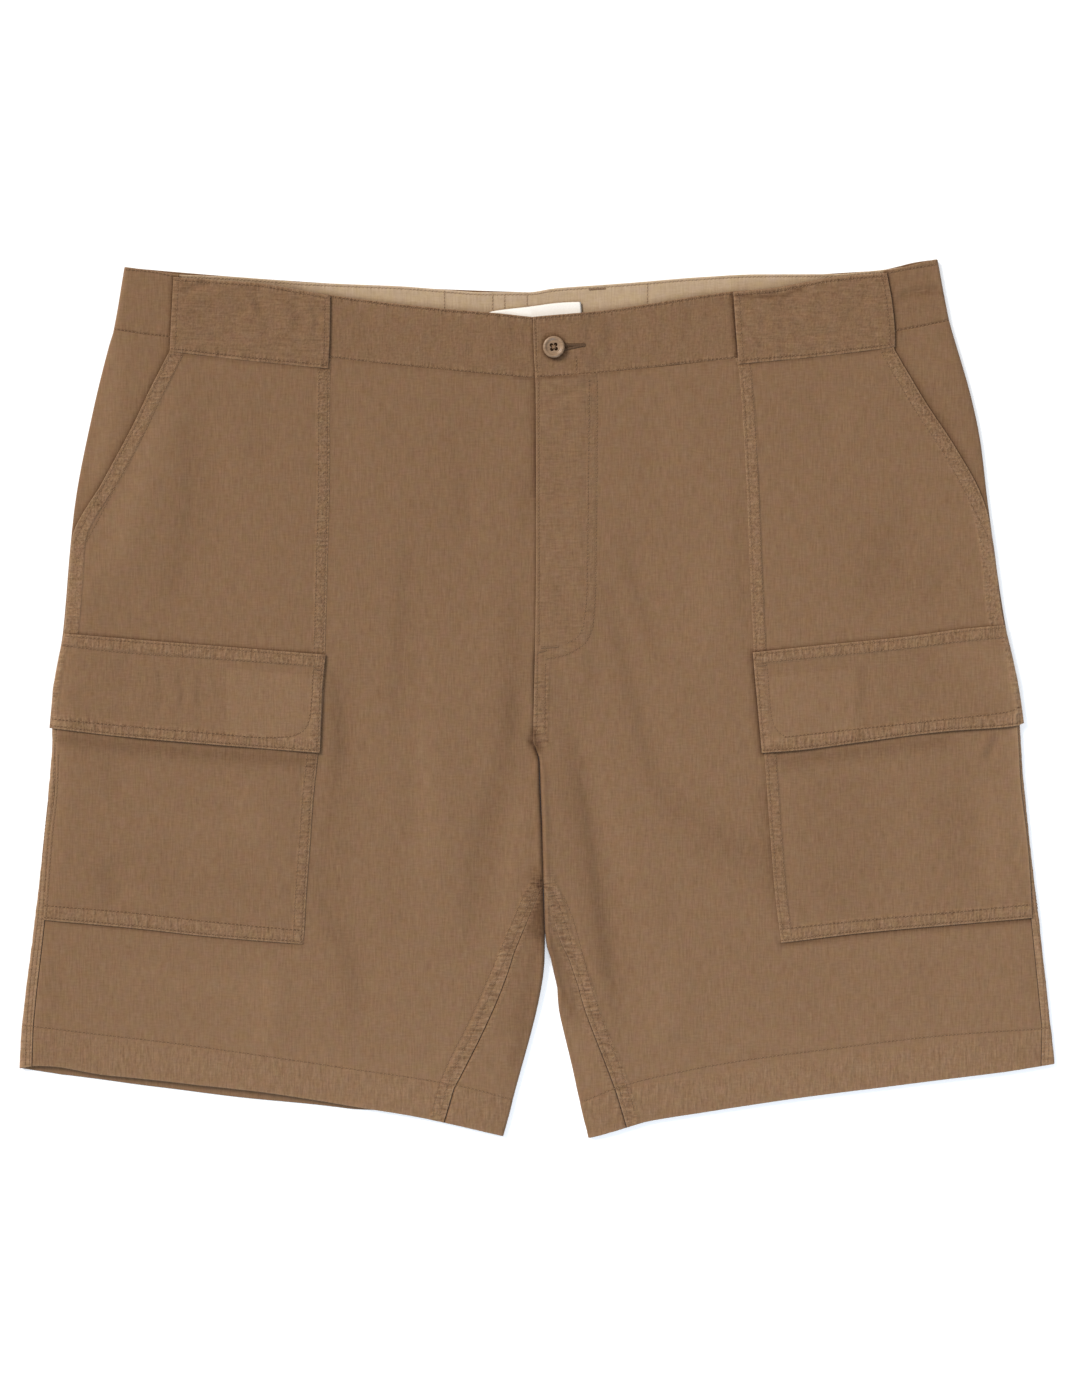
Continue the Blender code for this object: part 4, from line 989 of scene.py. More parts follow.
def back_band():
    """The back waistband: one strip from under one loop, round both sides, to the other loop."""
    sides = {}
    for leg in (RIGHT_LEG, LEFT_LEG):
        total = leg.v("waist") - leg.v("band_top")
        v = leg.v("band_top") + stops(40.0, 1.8, (1.6, -2.0)) / 40.0 * (total - 0.1)
        row = leg.lines(v)
        r = row["side_r"]
        q = math.pi * r / 2
        join = q + row["mouth"] + 3.0 - r
        front = join + (q - join) * np.r_[0, 0.003, 0.01, 0.02, np.linspace(0.035, 1, 24)][None]
        turn = q - 2 * q * np.linspace(0, 1, 9)[None, 1:]
        under = -(q + (row["back_width"] - r) * np.linspace(0, 1, 62)[None, 1:])
        a = np.concatenate([front, turn, under], 1)
        sides[leg.name] = leg.sheet(row, a, "side")
    (pr, nr), (pl, nl) = sides["right"], sides["left"]
    middle = (pr[:, -1:] + pl[:, -1:]) / 2
    p = np.concatenate([pr[:, :-1], middle, pl[:, :-1][:, ::-1]], 1)
    n = np.concatenate([nr[:, :-1], nr[:, -1:], nl[:, :-1][:, ::-1]], 1)
    et, eb, el, er = border_distances(p)
    e = np.minimum(np.minimum(et, eb), np.minimum(el, er))
    x, y = p[..., 0], p[..., 1]
    up = n[..., 2] > 0.05
    sf, nf = grooves("waistband_back", x, y)
    sb, nb = grooves("waistband_back", x, y, "back")
    sunk, near = np.where(up, sf, sb), np.where(up, nf, nb)
    relief = np.where(up, side_wrinkles(x, y), -0.05)
    relief += np.where(up, 1, 0.0) * puckers(x, y, 1, 0.1, smooth(4, 1, np.minimum(et, eb)), 83, 4.0, 0.10)
    f = edge_round(e)
    outer = p + n * (f * (out_of(n) + relief - sunk))[..., None]
    inner = p - n * (f * THIN * 0.7)[..., None]
    # tone: painted shade beside the loops and seams, a painted highlight along the side folds, lighter on the wearer's
    # right side and a little darker overall; rim: where the material paints a highlight
    return shell("waistband_back", outer, inner, {
        "band": 0.6 * smooth(5, 1, np.minimum(et, eb)), "rough": np.full(x.shape, 0.3), "seam": near,
        "tone": up * (beside("waistband_back", x, y) + 0.16 * np.exp(-(e_side(x, y) / 3.0) ** 2)
                     + 0.035 * (x < -200)) - 0.03,
        "rim": np.exp(-(e / 0.9) ** 2)}, 0, (11, 7))


def e_side(x, y):
    """Distance across from the nearer side fold."""
    return np.minimum(np.abs(RIGHT_LEG.outline_x(y) - x), np.abs(LEFT_LEG.outline_x(y) - x))


def side_wrinkles(x, y):
    """The pulls in the waistband beside each wide loop."""
    total = np.zeros(x.shape)
    for points, width, height in (
        (((896, 299), (918, 291), (941, 290)), 2.2, -0.85), (((900, 308), (922, 303), (944, 304)), 2.6, 0.50),
        (((902, 284), (920, 280), (936, 274)), 2.4, -0.28),
        (((130, 290), (146, 287), (166, 292)), 3.0, -0.14), (((150, 330), (158, 318), (164, 304)), 3.0, -0.16),
    ):
        d, _, share = from_line(x, y, dense(g(points), 2.0))
        total += height * np.exp(-(d / width) ** 2) * smooth(-0.1, 0.2, share) * smooth(1.1, 0.8, share)
    return total


# ---- outlines in grid units ----------------------------------------------------------
FLY_OUTER = ((597, 379), (596.5, 480), (595.3, 590), (593, 623), (587, 640), (575, 650.5), (562, 656), (545, 659))
FLY_INNER = ((589, 379), (588, 480), (586.6, 590), (583, 625), (576, 638), (566, 643.5))
TOP_EDGE = ((180, 279.3), (256, 283), (306, 291), (331, 295), (390, 303), (442, 308.6), (502, 313.8), (533, 317.2), (560, 318.7))
TOP_EDGE_LEFT = ((533, 317.3), (549, 315.8), (588, 312.4), (652, 303.6), (698, 296), (733, 291.6), (770, 288.6), (796, 284), (836, 276.8), (882, 273.2))
WAIST_RIGHT = ((174, 339), (250, 349), (331, 358.2), (375, 363.6), (440, 370.2), (530, 378.6), (560, 380.6))
WAIST_LEFT = ((535.6, 378.2), (576, 376.4), (606, 373.4), (667, 366.0), (700, 362.4), (733, 359.4), (815, 346), (890, 332.2))
MOUTH_RIGHT = ((170.5, 338), (170, 350.5), (166.4, 358), (151, 388.5), (134, 424), (104, 480), (71, 543))
MOUTH_LEFT = ((895, 331), (893.6, 347), (898.4, 357), (910, 377), (925, 402), (956, 449), (982, 497), (990, 524))

OUTLINES = {
    "hand_pocket_right": dict(
        top=((170.5, 338), (250, 348.5), (331, 358.5)),
        bottom=((58.5, 667.7), (190, 679), (323.8, 688)),
        left=(*MOUTH_RIGHT, (69.8, 560), (67.2, 600), (62.8, 642), (58.5, 667.7)),
        right=((331, 358.5), (330.2, 400), (330, 480), (328, 560), (325.5, 651), (323.8, 688))),
    "hand_pocket_left": dict(
        top=((735, 358.5), (815, 346), (895, 331)),
        bottom=((755.3, 685.3), (884, 675), (1012, 660)),
        left=((735, 358.5), (738.2, 368), (741.5, 407), (746.6, 493), (750, 579), (753.5, 651), (755.3, 685.3)),
        right=(*MOUTH_LEFT, (996, 562), (1000, 602), (1008, 642), (1012, 660))),
    "cargo_pocket_right": dict(
        top=((59, 669), (190, 680.2), (323.7, 689.2)),
        bottom=((43.9, 920), (132, 928), (214, 937), (304, 944.3)),
        left=((59, 669), (58, 700), (57, 737), (55.5, 785), (50, 840), (43.9, 920)),
        right=((323.7, 689.2), (321.6, 720), (318.6, 752), (313.7, 797), (310.4, 844), (306.6, 895), (304, 944.3))),
    "cargo_pocket_left": dict(
        top=((755.4, 686.5), (884, 676.2), (1012, 661.5)),
        bottom=((781, 943), (866, 932.6), (950.5, 925), (1032, 918)),
        left=((755.4, 686.5), (763.8, 752), (769, 822), (775, 896), (781, 943)),
        right=((1012, 661.5), (1015.4, 700), (1018.2, 742), (1020.6, 785), (1026, 830), (1029, 862), (1031, 895), (1032, 918))),
    "cargo_flap_right": dict(
        top=((64.6, 633.5), (155, 641), (231, 647), (326, 654.7)),
        bottom=((49.4, 728), (116.5, 736), (212, 744.5), (320.2, 753)),
        left=((64.6, 633.5), (62.4, 641), (58.6, 657), (53.6, 686), (49.4, 728)),
        right=((326, 654.7), (323, 686), (321.5, 720), (320.2, 753))),
    "cargo_flap_left": dict(
        top=((752.4, 652.4), (821.6, 645), (903, 637), (964.5, 628.6), (1005, 625)),
        bottom=((761.6, 753), (801, 750), (862, 742), (944, 731.6), (1015.5, 726), (1024, 723)),
        left=((752.4, 652.4), (757, 702), (761.6, 753)),
        right=((1005, 625), (1013.5, 661), (1019.6, 692), (1024, 723))),
    "belt_loop_right": dict(
        top=((173.8, 277.4), (214, 280.4), (256, 283.2), (306, 291.6), (330.6, 296.0)),
        bottom=((170, 352), (250, 361.5), (328.8, 369.2)),
        left=((173.8, 277.4), (171.8, 316), (170, 352)),
        right=((330.6, 296.0), (330.2, 330), (328.8, 369.2))),
    "belt_loop_left": dict(
        top=((733, 292.4), (770, 289.4), (796, 285), (836, 277.8), (886.6, 273.4)),
        bottom=((738.3, 364.6), (815, 357.6), (894.9, 347.6)),
        left=((733, 292.4), (735.6, 330), (738.3, 364.6)),
        right=((886.6, 273.4), (892.2, 306), (894.6, 333), (894.9, 347.6))),
}


def edge(name, which):
    return OUTLINES[name][which]


# ---- shade beside edges --------------------------------------------------------------
# Painted shade beside the sewn edges of what lies on a piece, in the fold between the legs and round the button: the
# piece, the edge in grid points, how much, and how wide in mm.
PAINTED_SHADE_LINES = []


def shade(names, points, amount, width):
    PAINTED_SHADE_LINES.append((names.split(), line(points), amount, width))


def beside(name, x, y):
    total = np.zeros(x.shape)
    for names, p, amount, width in PAINTED_SHADE_LINES:
        if name in names:
            d, _, share = from_line(x, y, p)
            total = np.minimum(total, -amount * np.exp(-(d / width) ** 1.6))
    return total


# painted shade beside the edges of what lies on each piece, in the fold between the legs and round the button
def shading():
    for side in ("right", "left"):
        inner, outer = ("right", "left") if side == "right" else ("left", "right")
        loop, hand, cargo, flap = (f"{n}_{side}" for n in ("belt_loop", "hand_pocket", "cargo_pocket", "cargo_flap"))
        lit = side == "left"
        shade(f"waistband_front_{side}", edge(loop, inner), 0.70 if lit else 0.02, 1.9 if lit else 1.2)
        shade("waistband_back", edge(loop, outer), 0.45, 1.8)
        shade(f"{hand} front_{side}", edge(loop, "bottom"), 0.34, 1.3)
        shade(f"front_{side}", edge(hand, inner), 0.05, 1.0)
        shade(f"front_{side}", edge(cargo, inner), 0.22 if lit else 0.05, 1.4)
        shade(f"front_{side}", edge(cargo, "bottom"), 0.48 if lit else 0.32, 2.3 if lit else 1.4)
        shade(f"front_{side} {cargo}", edge(flap, inner), 0.55 if lit else 0.02, 2.2 if lit else 1.4)
        shade(hand, edge(flap, "top"), 0.40, 1.3)
        shade(cargo, edge(flap, "bottom"), 0.16, 1.6)
        lower = tuple((x, y + 9) for x, y in (edge(flap, "bottom")[:4] if lit else edge(flap, "bottom")))
        shade(cargo, lower, 0.19 if lit else 0.23, 5.6)
    shade("front_right back_right", MOUTH_RIGHT, 0.42, 2.6)
    shade("front_left back_left", MOUTH_LEFT[:-1], 0.34, 2.6)
    shade("waistband_back back_right", ((170.5, 330), (170.5, 338), (169, 354)), 0.4, 1.6)
    shade("waistband_back", ((902, 298), (916, 294), (934, 290)), 0.17, 4.0)
    shade("waistband_back", ((920, 292.5), (930, 293), (938, 292), (944, 295)), 0.34, 1.4)
    shade("waistband_back", ((905, 300), (914, 296), (922, 293)), 0.17, 2.0)
    shade("waistband_back back_right", ((115.5, 329.4), (145, 334), (170, 337)), 0.20, 1.0)
    shade("waistband_back back_left", ((896, 330.6), (925, 325.4), (948, 320.4)), 0.20, 1.0)
    shade("waistband_back back_right", ((168.6, 343), (168.8, 350)), 0.55, 1.3)
    shade("front_right", ((537, 374), (537, 440), (537, 494)), 0.55, 3.2)
    shade("front_right", ((537, 490), (537, 570), (537, 650), (536, 735)), 0.30, 1.8)
    shade("waistband_front_right", ((534, 330), (534.5, 357), (536, 378)), 0.30, 1.6)
    shade("front_right", WAIST_RIGHT, 0.14, 1.2)
    shade("front_left", WAIST_LEFT, 0.14, 1.2)
    shade("front_left", ((538, 378.4), (556, 377.4), (577, 376.2)), 0.34, 1.1)
    shade("front_right", ((514, 377.4), (536, 379.6)), 0.28, 1.2)
    shade("waistband_back_facing", TOP_EDGE, 0.22, 1.4)
    shade("waistband_back_facing", ((171, 276), (210, 279), (256, 282), (300, 288)), 0.30, 1.6)
    shade("belt_loop_left", ((736, 296), (760, 297), (784, 296), (799, 290)), 0.34, 1.3)
    shade("waistband_back_facing", TOP_EDGE_LEFT, 0.22, 1.4)
    # the right leg's inner fold turns away from the light, into the other leg
    fold = ((538, 756), (539.5, 790), (540.5, 830), (542, 880), (544, 930), (545, 962))
    shade("front_right back_right", fold, 0.15, 6.5)
    shade("front_right back_right", fold[3:], 0.20, 5.0)
    shade("back_right front_right", ((541.5, 880), (540.5, 905), (540, 934)), 0.60, 7.4)
    shade("back_right", ((541, 896), (538, 935), (530, 985), (520, 1022)), 0.18, 9.5)
    shade("back_right", ((541.5, 922), (539, 950)), 0.34, 4.4)
    shade("back_right", ((540, 940), (534, 985), (524.5, 1022), (513, 1064)), 0.20, 3.2)
    shade("back_left", ((549, 946), (560, 985), (572, 1014)), 0.22, 5.0)
    shade("front_right front_left", ((534, 733), (535.5, 741), (538, 749)), 0.55, 2.6)
    shade("front_right back_right", fold, 0.42, 1.8)
    shade("front_right", ((531, 741), (534, 747), (538.5, 757)), 0.70, 2.4)
    shade("front_left back_left", ((540, 746), (541.5, 790), (543, 850), (545, 905), (547, 945)), 0.14, 0.8)
    # round the button
    at = [(537 + BUTTON_AT[0] / GRID + 7.2 / GRID * math.cos(t), 699 - BUTTON_AT[1] / GRID + 7.2 / GRID * math.sin(t))
          for t in np.linspace(0, 2 * math.pi, 33)]
    shade("waistband_front_left", at, 0.55, 1.2)


# ---- sewing lines --------------------------------------------------------------------
def sewing():
    # fly, crotch and centre front
    sew("fly_edge", "front_left", line(((538.8, 381), (538.8, 480), (539, 560), (539, 646))), holes=0.55)
    sew("fly_outer", "front_left", line(FLY_OUTER[:3]), 0.03, holes=0.10)
    sew("fly_curve", "front_left", line(FLY_OUTER[2:]), 0.08, holes=0.45)
    sew("fly_inner", "front_left", line(FLY_INNER), 0.03, holes=0.06)
    sew("crotch_near", "front_left", line(((537.3, 652), (537, 690), (536.6, 734))), holes=0.5)
    sew("crotch_far", "front_left", line(((545.4, 664), (545, 700), (544.6, 735))), holes=0.45)
    # waistband
    sew("band_top_right", "waistband_front_right", line(TOP_EDGE, 2.4, 150, 2), holes=2.0)
    sew("band_top_left", "waistband_front_left", line(TOP_EDGE_LEFT, 2.4, 4, 148), holes=1.9)
    sew("band_foot_right", "waistband_front_right", line(WAIST_RIGHT, -1.5, 156, 2), 0.15, holes=1.15)
    sew("band_foot_left", "waistband_front_left", line(WAIST_LEFT, -1.5, 2, 152), 0.15, holes=1.15)
    sew("band_end", "waistband_front_left", line(((535.6, 322), (536.6, 357), (537.8, 374))), 0.2)
    sew("band_upright", "waistband_front_left", line(((576.5, 358), (576.6, 366), (576.4, 374))), 0.2)
    sew("band_side_right_low", "waistband_back", line(((115.5, 329.4), (145, 334), (172, 337))), 0.30)
    sew("band_side_left_low", "waistband_back", line(((894, 331), (925, 325.4), (948, 320.4))), 0.30)
    sew("band_side_right_top", "waistband_back", line(((126.5, 270), (150, 272), (173, 276.6))), 0.18)
    sew("band_side_left_top", "waistband_back", line(((888, 273.4), (912, 268.8), (936, 264.8))), 0.18)
    for n in ("belt_loop_right", "belt_loop_left"):
        sew(n + "_t", n, line(edge(n, "top"), 3.2, 2, 2), holes=0.9 if n.endswith("right") else 1.4)
        sew(n + "_b", n, line(edge(n, "bottom"), -3.4, 2, 2))
        sew(n + "_l", n, line(edge(n, "left"), -5.4, 3, 3), holes=0.55)
        sew(n + "_r", n, line(edge(n, "right"), 5.4, 3, 3), holes=0.55)
    # hand pockets: the sewn edge, the mouth
    sew("hand_r_1", "hand_pocket_right", line(edge("hand_pocket_right", "right"), 2.8, 12, 34), holes=0.35)
    sew("hand_r_2", "hand_pocket_right", line(edge("hand_pocket_right", "right"), 11.6, 12, 34), 0.08, holes=0.2)
    sew("hand_l_1", "hand_pocket_left", line(edge("hand_pocket_left", "left"), -2.8, 12, 34), holes=0.35)
    sew("hand_l_2", "hand_pocket_left", line(edge("hand_pocket_left", "left"), -11.6, 12, 34), 0.08, holes=0.2)
    sew("mouth_r_1", "hand_pocket_right", line(MOUTH_RIGHT, -2.6, 17, 0), holes=0.4)
    sew("mouth_r_2", "hand_pocket_right", line((*MOUTH_RIGHT, (61, 562)), -13.6, 17, 6), 0.09, holes=0.3)
    sew("mouth_l_1", "hand_pocket_left", line(MOUTH_LEFT, 2.6, 17, 14), holes=0.4)
    sew("mouth_l_2", "hand_pocket_left", line((*MOUTH_LEFT[:-1], (1008, 548)), 13.4, 17, 4), 0.09, holes=0.3)
    # flaps
    sew("flap_r_top1", "cargo_flap_right", line(edge("cargo_flap_right", "top"), 2.6, 1, 1), holes=0.45)
    sew("flap_r_top2", "cargo_flap_right", line(((61.5, 645), (116.5, 652), (212, 658.6), (289, 664), (323, 666.6))), holes=0.45)
    sew("flap_r_foot1", "cargo_flap_right", line(edge("cargo_flap_right", "bottom"), -2.6, 2, 2))
    sew("flap_r_foot2", "cargo_flap_right", line(
        ((53, 719), (136, 727), (212, 733.4), (268, 737.6), (290, 736.4), (304, 730), (310, 718), (312, 700), (313.6, 669))))
    sew("flap_r_in1", "cargo_flap_right", line(edge("cargo_flap_right", "right"), 2.6, 2, 3), holes=0.6)
    sew("flap_l_top1", "cargo_flap_left", line(edge("cargo_flap_left", "top"), 2.6, 1, 1), holes=0.45)
    sew("flap_l_top2", "cargo_flap_left", line(((755, 663.4), (821, 656.6), (903, 648.6), (964, 641), (1007.5, 637))), holes=0.45)
    sew("flap_l_foot1", "cargo_flap_left", line(edge("cargo_flap_left", "bottom"), -2.6, 2, 3))
    sew("flap_l_in2", "cargo_flap_left", line(
        ((766.6, 667), (769, 700), (771.6, 720), (776, 730), (784, 736))), 0.06, holes=0.15)
    sew("flap_l_foot2", "cargo_flap_left", line(
        ((785, 737), (822, 732.8), (883, 726.2), (944, 719.4), (1004, 712.4), (1013, 710), (1021, 705.6))))
    sew("flap_l_in1", "cargo_flap_left", line(edge("cargo_flap_left", "left"), -2.6, 2, 3), holes=0.6)
    # cargo pockets
    sew("cargo_r_in1", "cargo_pocket_right", line(edge("cargo_pocket_right", "right"), 2.8, 60, 1), holes=0.6)
    sew("cargo_r_in2", "cargo_pocket_right", line(edge("cargo_pocket_right", "right"), 11.0, 60, 2), holes=0.4)
    sew("cargo_r_foot1", "cargo_pocket_right", line(edge("cargo_pocket_right", "bottom"), -2.6, 1, 2))
    sew("cargo_r_foot2", "cargo_pocket_right", line(((45.6, 905.5), (132, 912.6), (214, 922), (303, 930.6))))
    sew("cargo_l_in1", "cargo_pocket_left", line(edge("cargo_pocket_left", "left"), -2.8, 64, 1), holes=0.45)
    sew("cargo_l_in2", "cargo_pocket_left", line(edge("cargo_pocket_left", "left"), -11.0, 64, 2), holes=0.35)
    sew("cargo_l_foot1", "cargo_pocket_left", line(edge("cargo_pocket_left", "bottom"), -2.6, 1, 1))
    sew("cargo_l_foot2", "cargo_pocket_left", line(((780.5, 929), (866, 920), (950.5, 912.4), (1030.6, 904.4))))
    # side seams, on the strip that the back cloth makes
    seam_r = ((57, 737), (55.5, 785), (50, 840), (44, 918), (38.6, 962), (34.5, 1002), (33, 1023), (31.4, 1066))
    seam_l = ((1015.2, 742), (1018, 785), (1024, 845), (1031, 905), (1039.5, 960), (1043, 1028), (1041.4, 1063))
    sew("side_r_1", "back_right", line(seam_r, 2.0, 6, 0), 0.2, holes=0.5)
    sew("side_r_2", "back_right", line(seam_r, 6.0, 60, 0), 0.2, holes=0.6)
    sew("side_r_3", "cargo_pocket_right", line(seam_r, -2.4, 18, 146), 0.2, holes=0.6)
    sew("side_l_1", "back_left", line(seam_l, -2.0, 110, 0), 0.18, holes=0.5)
    sew("side_l_2", "back_left", line(seam_l, -6.0, 150, 0), 0.18, holes=0.5)
    # inseams: double on the front panel
    inseam_r = ((543.4, 882), (535, 898), (518, 937), (505, 967), (481, 1022), (451, 1085), (442, 1118))
    inseam_l = ((544.8, 882), (562, 923), (576, 975), (595, 1035), (612, 1079), (625, 1118))
    sew("inseam_r_1", "front_right", line(inseam_r, 3.2, 10, 1), holes=0.45)
    sew("inseam_r_2", "front_right", line(inseam_r, 11.4, 20, 3), holes=0.4)
    sew("inseam_l_1", "front_left", line(inseam_l, -3.2, 10, 1), holes=0.45)
    sew("inseam_l_2", "front_left", line(inseam_l, -11.4, 20, 3), holes=0.4)
    # hems
    sew("hem_right", "front_right back_right", line(
        ((23.5, 1025), (41, 1027), (92, 1033.4), (173, 1043), (255, 1054.5), (333, 1066), (459, 1085.6), (514, 1100))), holes=0.55)
    sew("hem_left", "front_left back_left", line(
        ((584, 1101), (614, 1088.6), (647, 1079), (732, 1062), (836, 1048), (947, 1035), (1051, 1028))), holes=0.6)
    # underside: hems, waistband foot, centre-back seam
    sew("back_hem_right", "back_right", line(
        ((24, 1025), (92, 1036), (173, 1046), (255, 1057), (333, 1068), (459, 1086), (513, 1100))), side="back")
    sew("back_hem_left", "back_left", line(
        ((584, 1101), (647, 1082), (732, 1067), (836, 1052), (947, 1038), (1050, 1028))), side="back")
    seat = ((533, 354), (533, 450), (533, 560), (533, 650), (533, 726), (538, 760))
    sew("seat_1", "back_left", line(seat, -3.2, 2, 4), side="back")
    sew("seat_2", "back_left", line(seat, -10.6, 2, 8), side="back")
    sew("back_band_foot", "waistband_back", line(
        ((116, 328.6), (220, 337), (330, 344), (440, 349.2), (533, 350.4), (640, 344.4), (740, 339.4), (850, 333.4), (947, 320))), side="back")
    sew("back_band_top", "waistband_back", line(
        ((127, 270.6), (171, 277), (239, 280.4), (300, 285), (350, 287), (440, 292), (528, 295), (600, 288.4), (700, 280.4), (836, 277), (886, 272.6), (936, 264.8))), side="back")


FACING_TOP = ((158, 272.2), (171, 273.8), (239, 276.9), (300, 281.8), (350, 284), (400, 286), (440, 289), (485, 292), (528, 292), (554, 288.2), (600, 284.8), (640, 281.8), (700, 276.9), (760, 274), (836, 273.8), (861, 271.8), (886, 269.2), (912, 265.6))


def facing_sewing():
    top = line(FACING_TOP, 2.6, 4, 4)
    sew("facing_top", "waistband_back_facing", top, 0.16)
    for k, (x, y0, y1) in enumerate(((444.5, 291, 312), (492.7, 294, 316), (504.8, 294.6, 318), (527.2, 294, 320),
                                     (647.6, 284, 306))):
        sew(f"facing_{k}", "waistband_back_facing", line(((x, y0), (x, y1))), 0.22, 2.2)
    sew("facing_tack", "waistband_back_facing", line(((589.5, 289.4), (605.5, 288.2))), 0.2, 1.4)


# ---- build the cloth -----------------------------------------------------------------
def build_cloth():
    sewing()
    facing_sewing()
    shading()
    for leg in (RIGHT_LEG, LEFT_LEG):
        leg_front(leg)
        leg_back(leg)
    back_band()

    def facing_height(x, y):
        return 1.75 + 0.16 * noise(x / 26, y / 18, 5) + 0.06 * noise(x / 7, y / 9, 6)

    foot = tuple((x, y + 46) for x, y in FACING_TOP)
    patch("waistband_back_facing", None, FACING_TOP, foot, (FACING_TOP[0], foot[0]), (FACING_TOP[-1], foot[-1]),
          0.0, 2.2, (3.0, 0, 0, 0), ((), (1.7,)), height=facing_height, seed=3, grain=0, wrinkle=0.05, thick=0.8, bandy=0.3)

    def band_height(leg):
        return lambda x, y: HALF + loft(x, y, leg.laps) + 0.7 * unevenness(x, y, 11) + 2.0 * creases(x, y, "w") + 0.10

    patch("waistband_front_right", RIGHT_LEG, TOP_EDGE, WAIST_RIGHT, (TOP_EDGE[0], WAIST_RIGHT[0]),
          (TOP_EDGE[-1], WAIST_RIGHT[-1]), 0.0, 1.9, (3.4, 2.2, 0, 0), ((), (1.6, -1.0)),
          height=band_height(RIGHT_LEG), seed=7, wrinkle=0.13, rough=0.65, paint=lambda x, y: -0.045 + 0 * x)
    patch("waistband_front_left", LEFT_LEG, TOP_EDGE_LEFT, WAIST_LEFT, ((533, 317.3), (534, 357), (535.6, 378.2)),
          (TOP_EDGE_LEFT[-1], WAIST_LEFT[-1]), 0.0, 1.9, (3.4, 2.2, 3.0, 0), ((1.6,), (1.6, -1.0)),
          height=band_height(LEFT_LEG), seed=9, wrinkle=0.13, rough=0.65, paint=lambda x, y: -0.045 + 0 * x)
    for side, leg in LEGS.items():
        right = side == "right"

        def near_fold(x, y, et, eb, el, er, leg=leg):
            outer = np.abs(leg.outline_x(y) - x)
            inner = er if leg.name == "right" else el
            return -0.35 * np.exp(-outer / 3) - 1.02 * np.exp(-inner / 7)

        patch(f"hand_pocket_{side}", leg, **OUTLINES[f"hand_pocket_{side}"], offset=LAYER, step=2.15,
              bands=(0, 0, 9.2 if right else 7.8, 7.8 if right else 9.2), fine=((1.8, 7.6, -1.8, -7.6), ()),
              plateau=0.10, seed=13 if right else 17, droop=near_fold, bandy=0.75, raised=0.05,
              pebble=2.0, pucker=0.10)
        patch(f"cargo_pocket_{side}", leg, **OUTLINES[f"cargo_pocket_{side}"], offset=LAYER - 0.1, step=2.15,
              bands=(0, 9.4, 0 if right else 7.4, 7.4 if right else 0), fine=((1.8, 7.2, -1.8, -7.2), (-1.7, -9.4)),
              plateau=0.22, seed=19 if right else 23, raised=0.12, bandy=0.9, pebble=1.2, pucker=0.12,
              droop=lambda x, y, et, eb, el, er, right=right: -0.70 * np.exp(-(er if right else el) / 5) - 0.25 * np.exp(-eb / 5))

        def flap_droop(x, y, et, eb, el, er, right=right):
            outer = el if right else er
            foot = 0.30 + 0.24 * np.sin(x / 21.0) + 0.2 * np.sin(x / 8.3 + 1)
            inner = er if right else el
            return (-0.9 * np.exp(-outer / 3.2) - 0.45 * np.exp(-et / 3) - 0.75 * np.exp(-inner / 4)
                    + foot * smooth(16, 0, eb) * smooth(0, 14, outer) * smooth(0, 9, inner))

        def hidden_square(x, y, right=right):
            x0, x1 = g([(228, 0), (322, 0)] if right else [(765, 0), (855, 0)])[:, 0]
            y0, y1 = g([(0, 739), (0, 673)])[:, 1]
            slope = 0.09 * (x - (x0 + x1) / 2) * (-1 if right else 1)
            inside = smooth(x0 - 1, x0 + 1, x) * smooth(x1 + 1, x1 - 1, x)
            return 0.10 * inside * smooth(y0 - 1 + slope, y0 + 1 + slope, y) * smooth(y1 + 1, y1 - 1, y - slope)

        patch(f"cargo_flap_{side}", leg, **OUTLINES[f"cargo_flap_{side}"], offset=2.35, step=1.5,
              bands=(7.6, 8.6, 4.0 if right else 6.6, 6.6 if right else 4.0), fine=((), (1.7, -1.7)),
              plateau=0.10, seed=29 if right else 37, droop=flap_droop, extra=hidden_square,
              paint=lambda x, y, f=hidden_square, k=1.15 if right else 0.95: k * f(x, y) - (0.01 if k > 1 else 0.03), rough=0.25 if right else 0.12, bandy=1.1,
              pebble=1.2, pucker=0.15)

        def loop_height(x, y, leg=leg):
            return HALF + loft(x, y, leg.laps) + 0.7 * unevenness(x, y, 11) + 2.4 * creases(x, y, "l")

        def loop_droop(x, y, et, eb, el, er, right=right):
            # sewn down at its foot and head, loose between, like a tunnel
            return (-0.25 * np.exp(-eb / 4) - 0.2 * np.exp(-et / 3)
                    + 0.25 * smooth(2, 14, et) * smooth(2, 14, eb) - 0.55 * np.exp(-np.minimum(el, er) / 3.5))

        patch(f"belt_loop_{side}", leg, **OUTLINES[f"belt_loop_{side}"], offset=1.95, step=1.35,
              bands=(3.4, 3.6, 4.6, 4.6), fine=((2.9, -2.9), (2.1, -2.2)), plateau=0.0, wrinkle=0.30,
              seed=41 if right else 43, droop=loop_droop, height=loop_height, grain=88, rough=0.90, streaks=0.36,
              paint=lambda x, y: -0.04 + 0 * x)


# ---- threads --------------------------------------------------------------------------
def surfaces(names):
    found = []
    for n in names:
        mesh = PIECES[n].data
        co = np.zeros(len(mesh.vertices) * 3, np.float32)
        mesh.vertices.foreach_get("co", co)
        polys = np.zeros(len(mesh.polygons) * 4, np.int32)
        mesh.polygons.foreach_get("vertices", polys)
        found.append((co.reshape(-1, 3), polys.reshape(-1, 4)))
    base, verts, faces = 0, [], []
    for co, polys in found:
        verts.append(co)
        faces.append(polys + base)
        base += len(co)
    return BVHTree.FromPolygons(np.concatenate(verts).tolist(), np.concatenate(faces).tolist())


SHAPE = ((0.0, 0.12, -0.24), (0.15, 0.25, 0.02), (0.5, 0.30, 0.13), (0.85, 0.25, 0.02), (1.0, 0.12, -0.24))
AROUND = 5


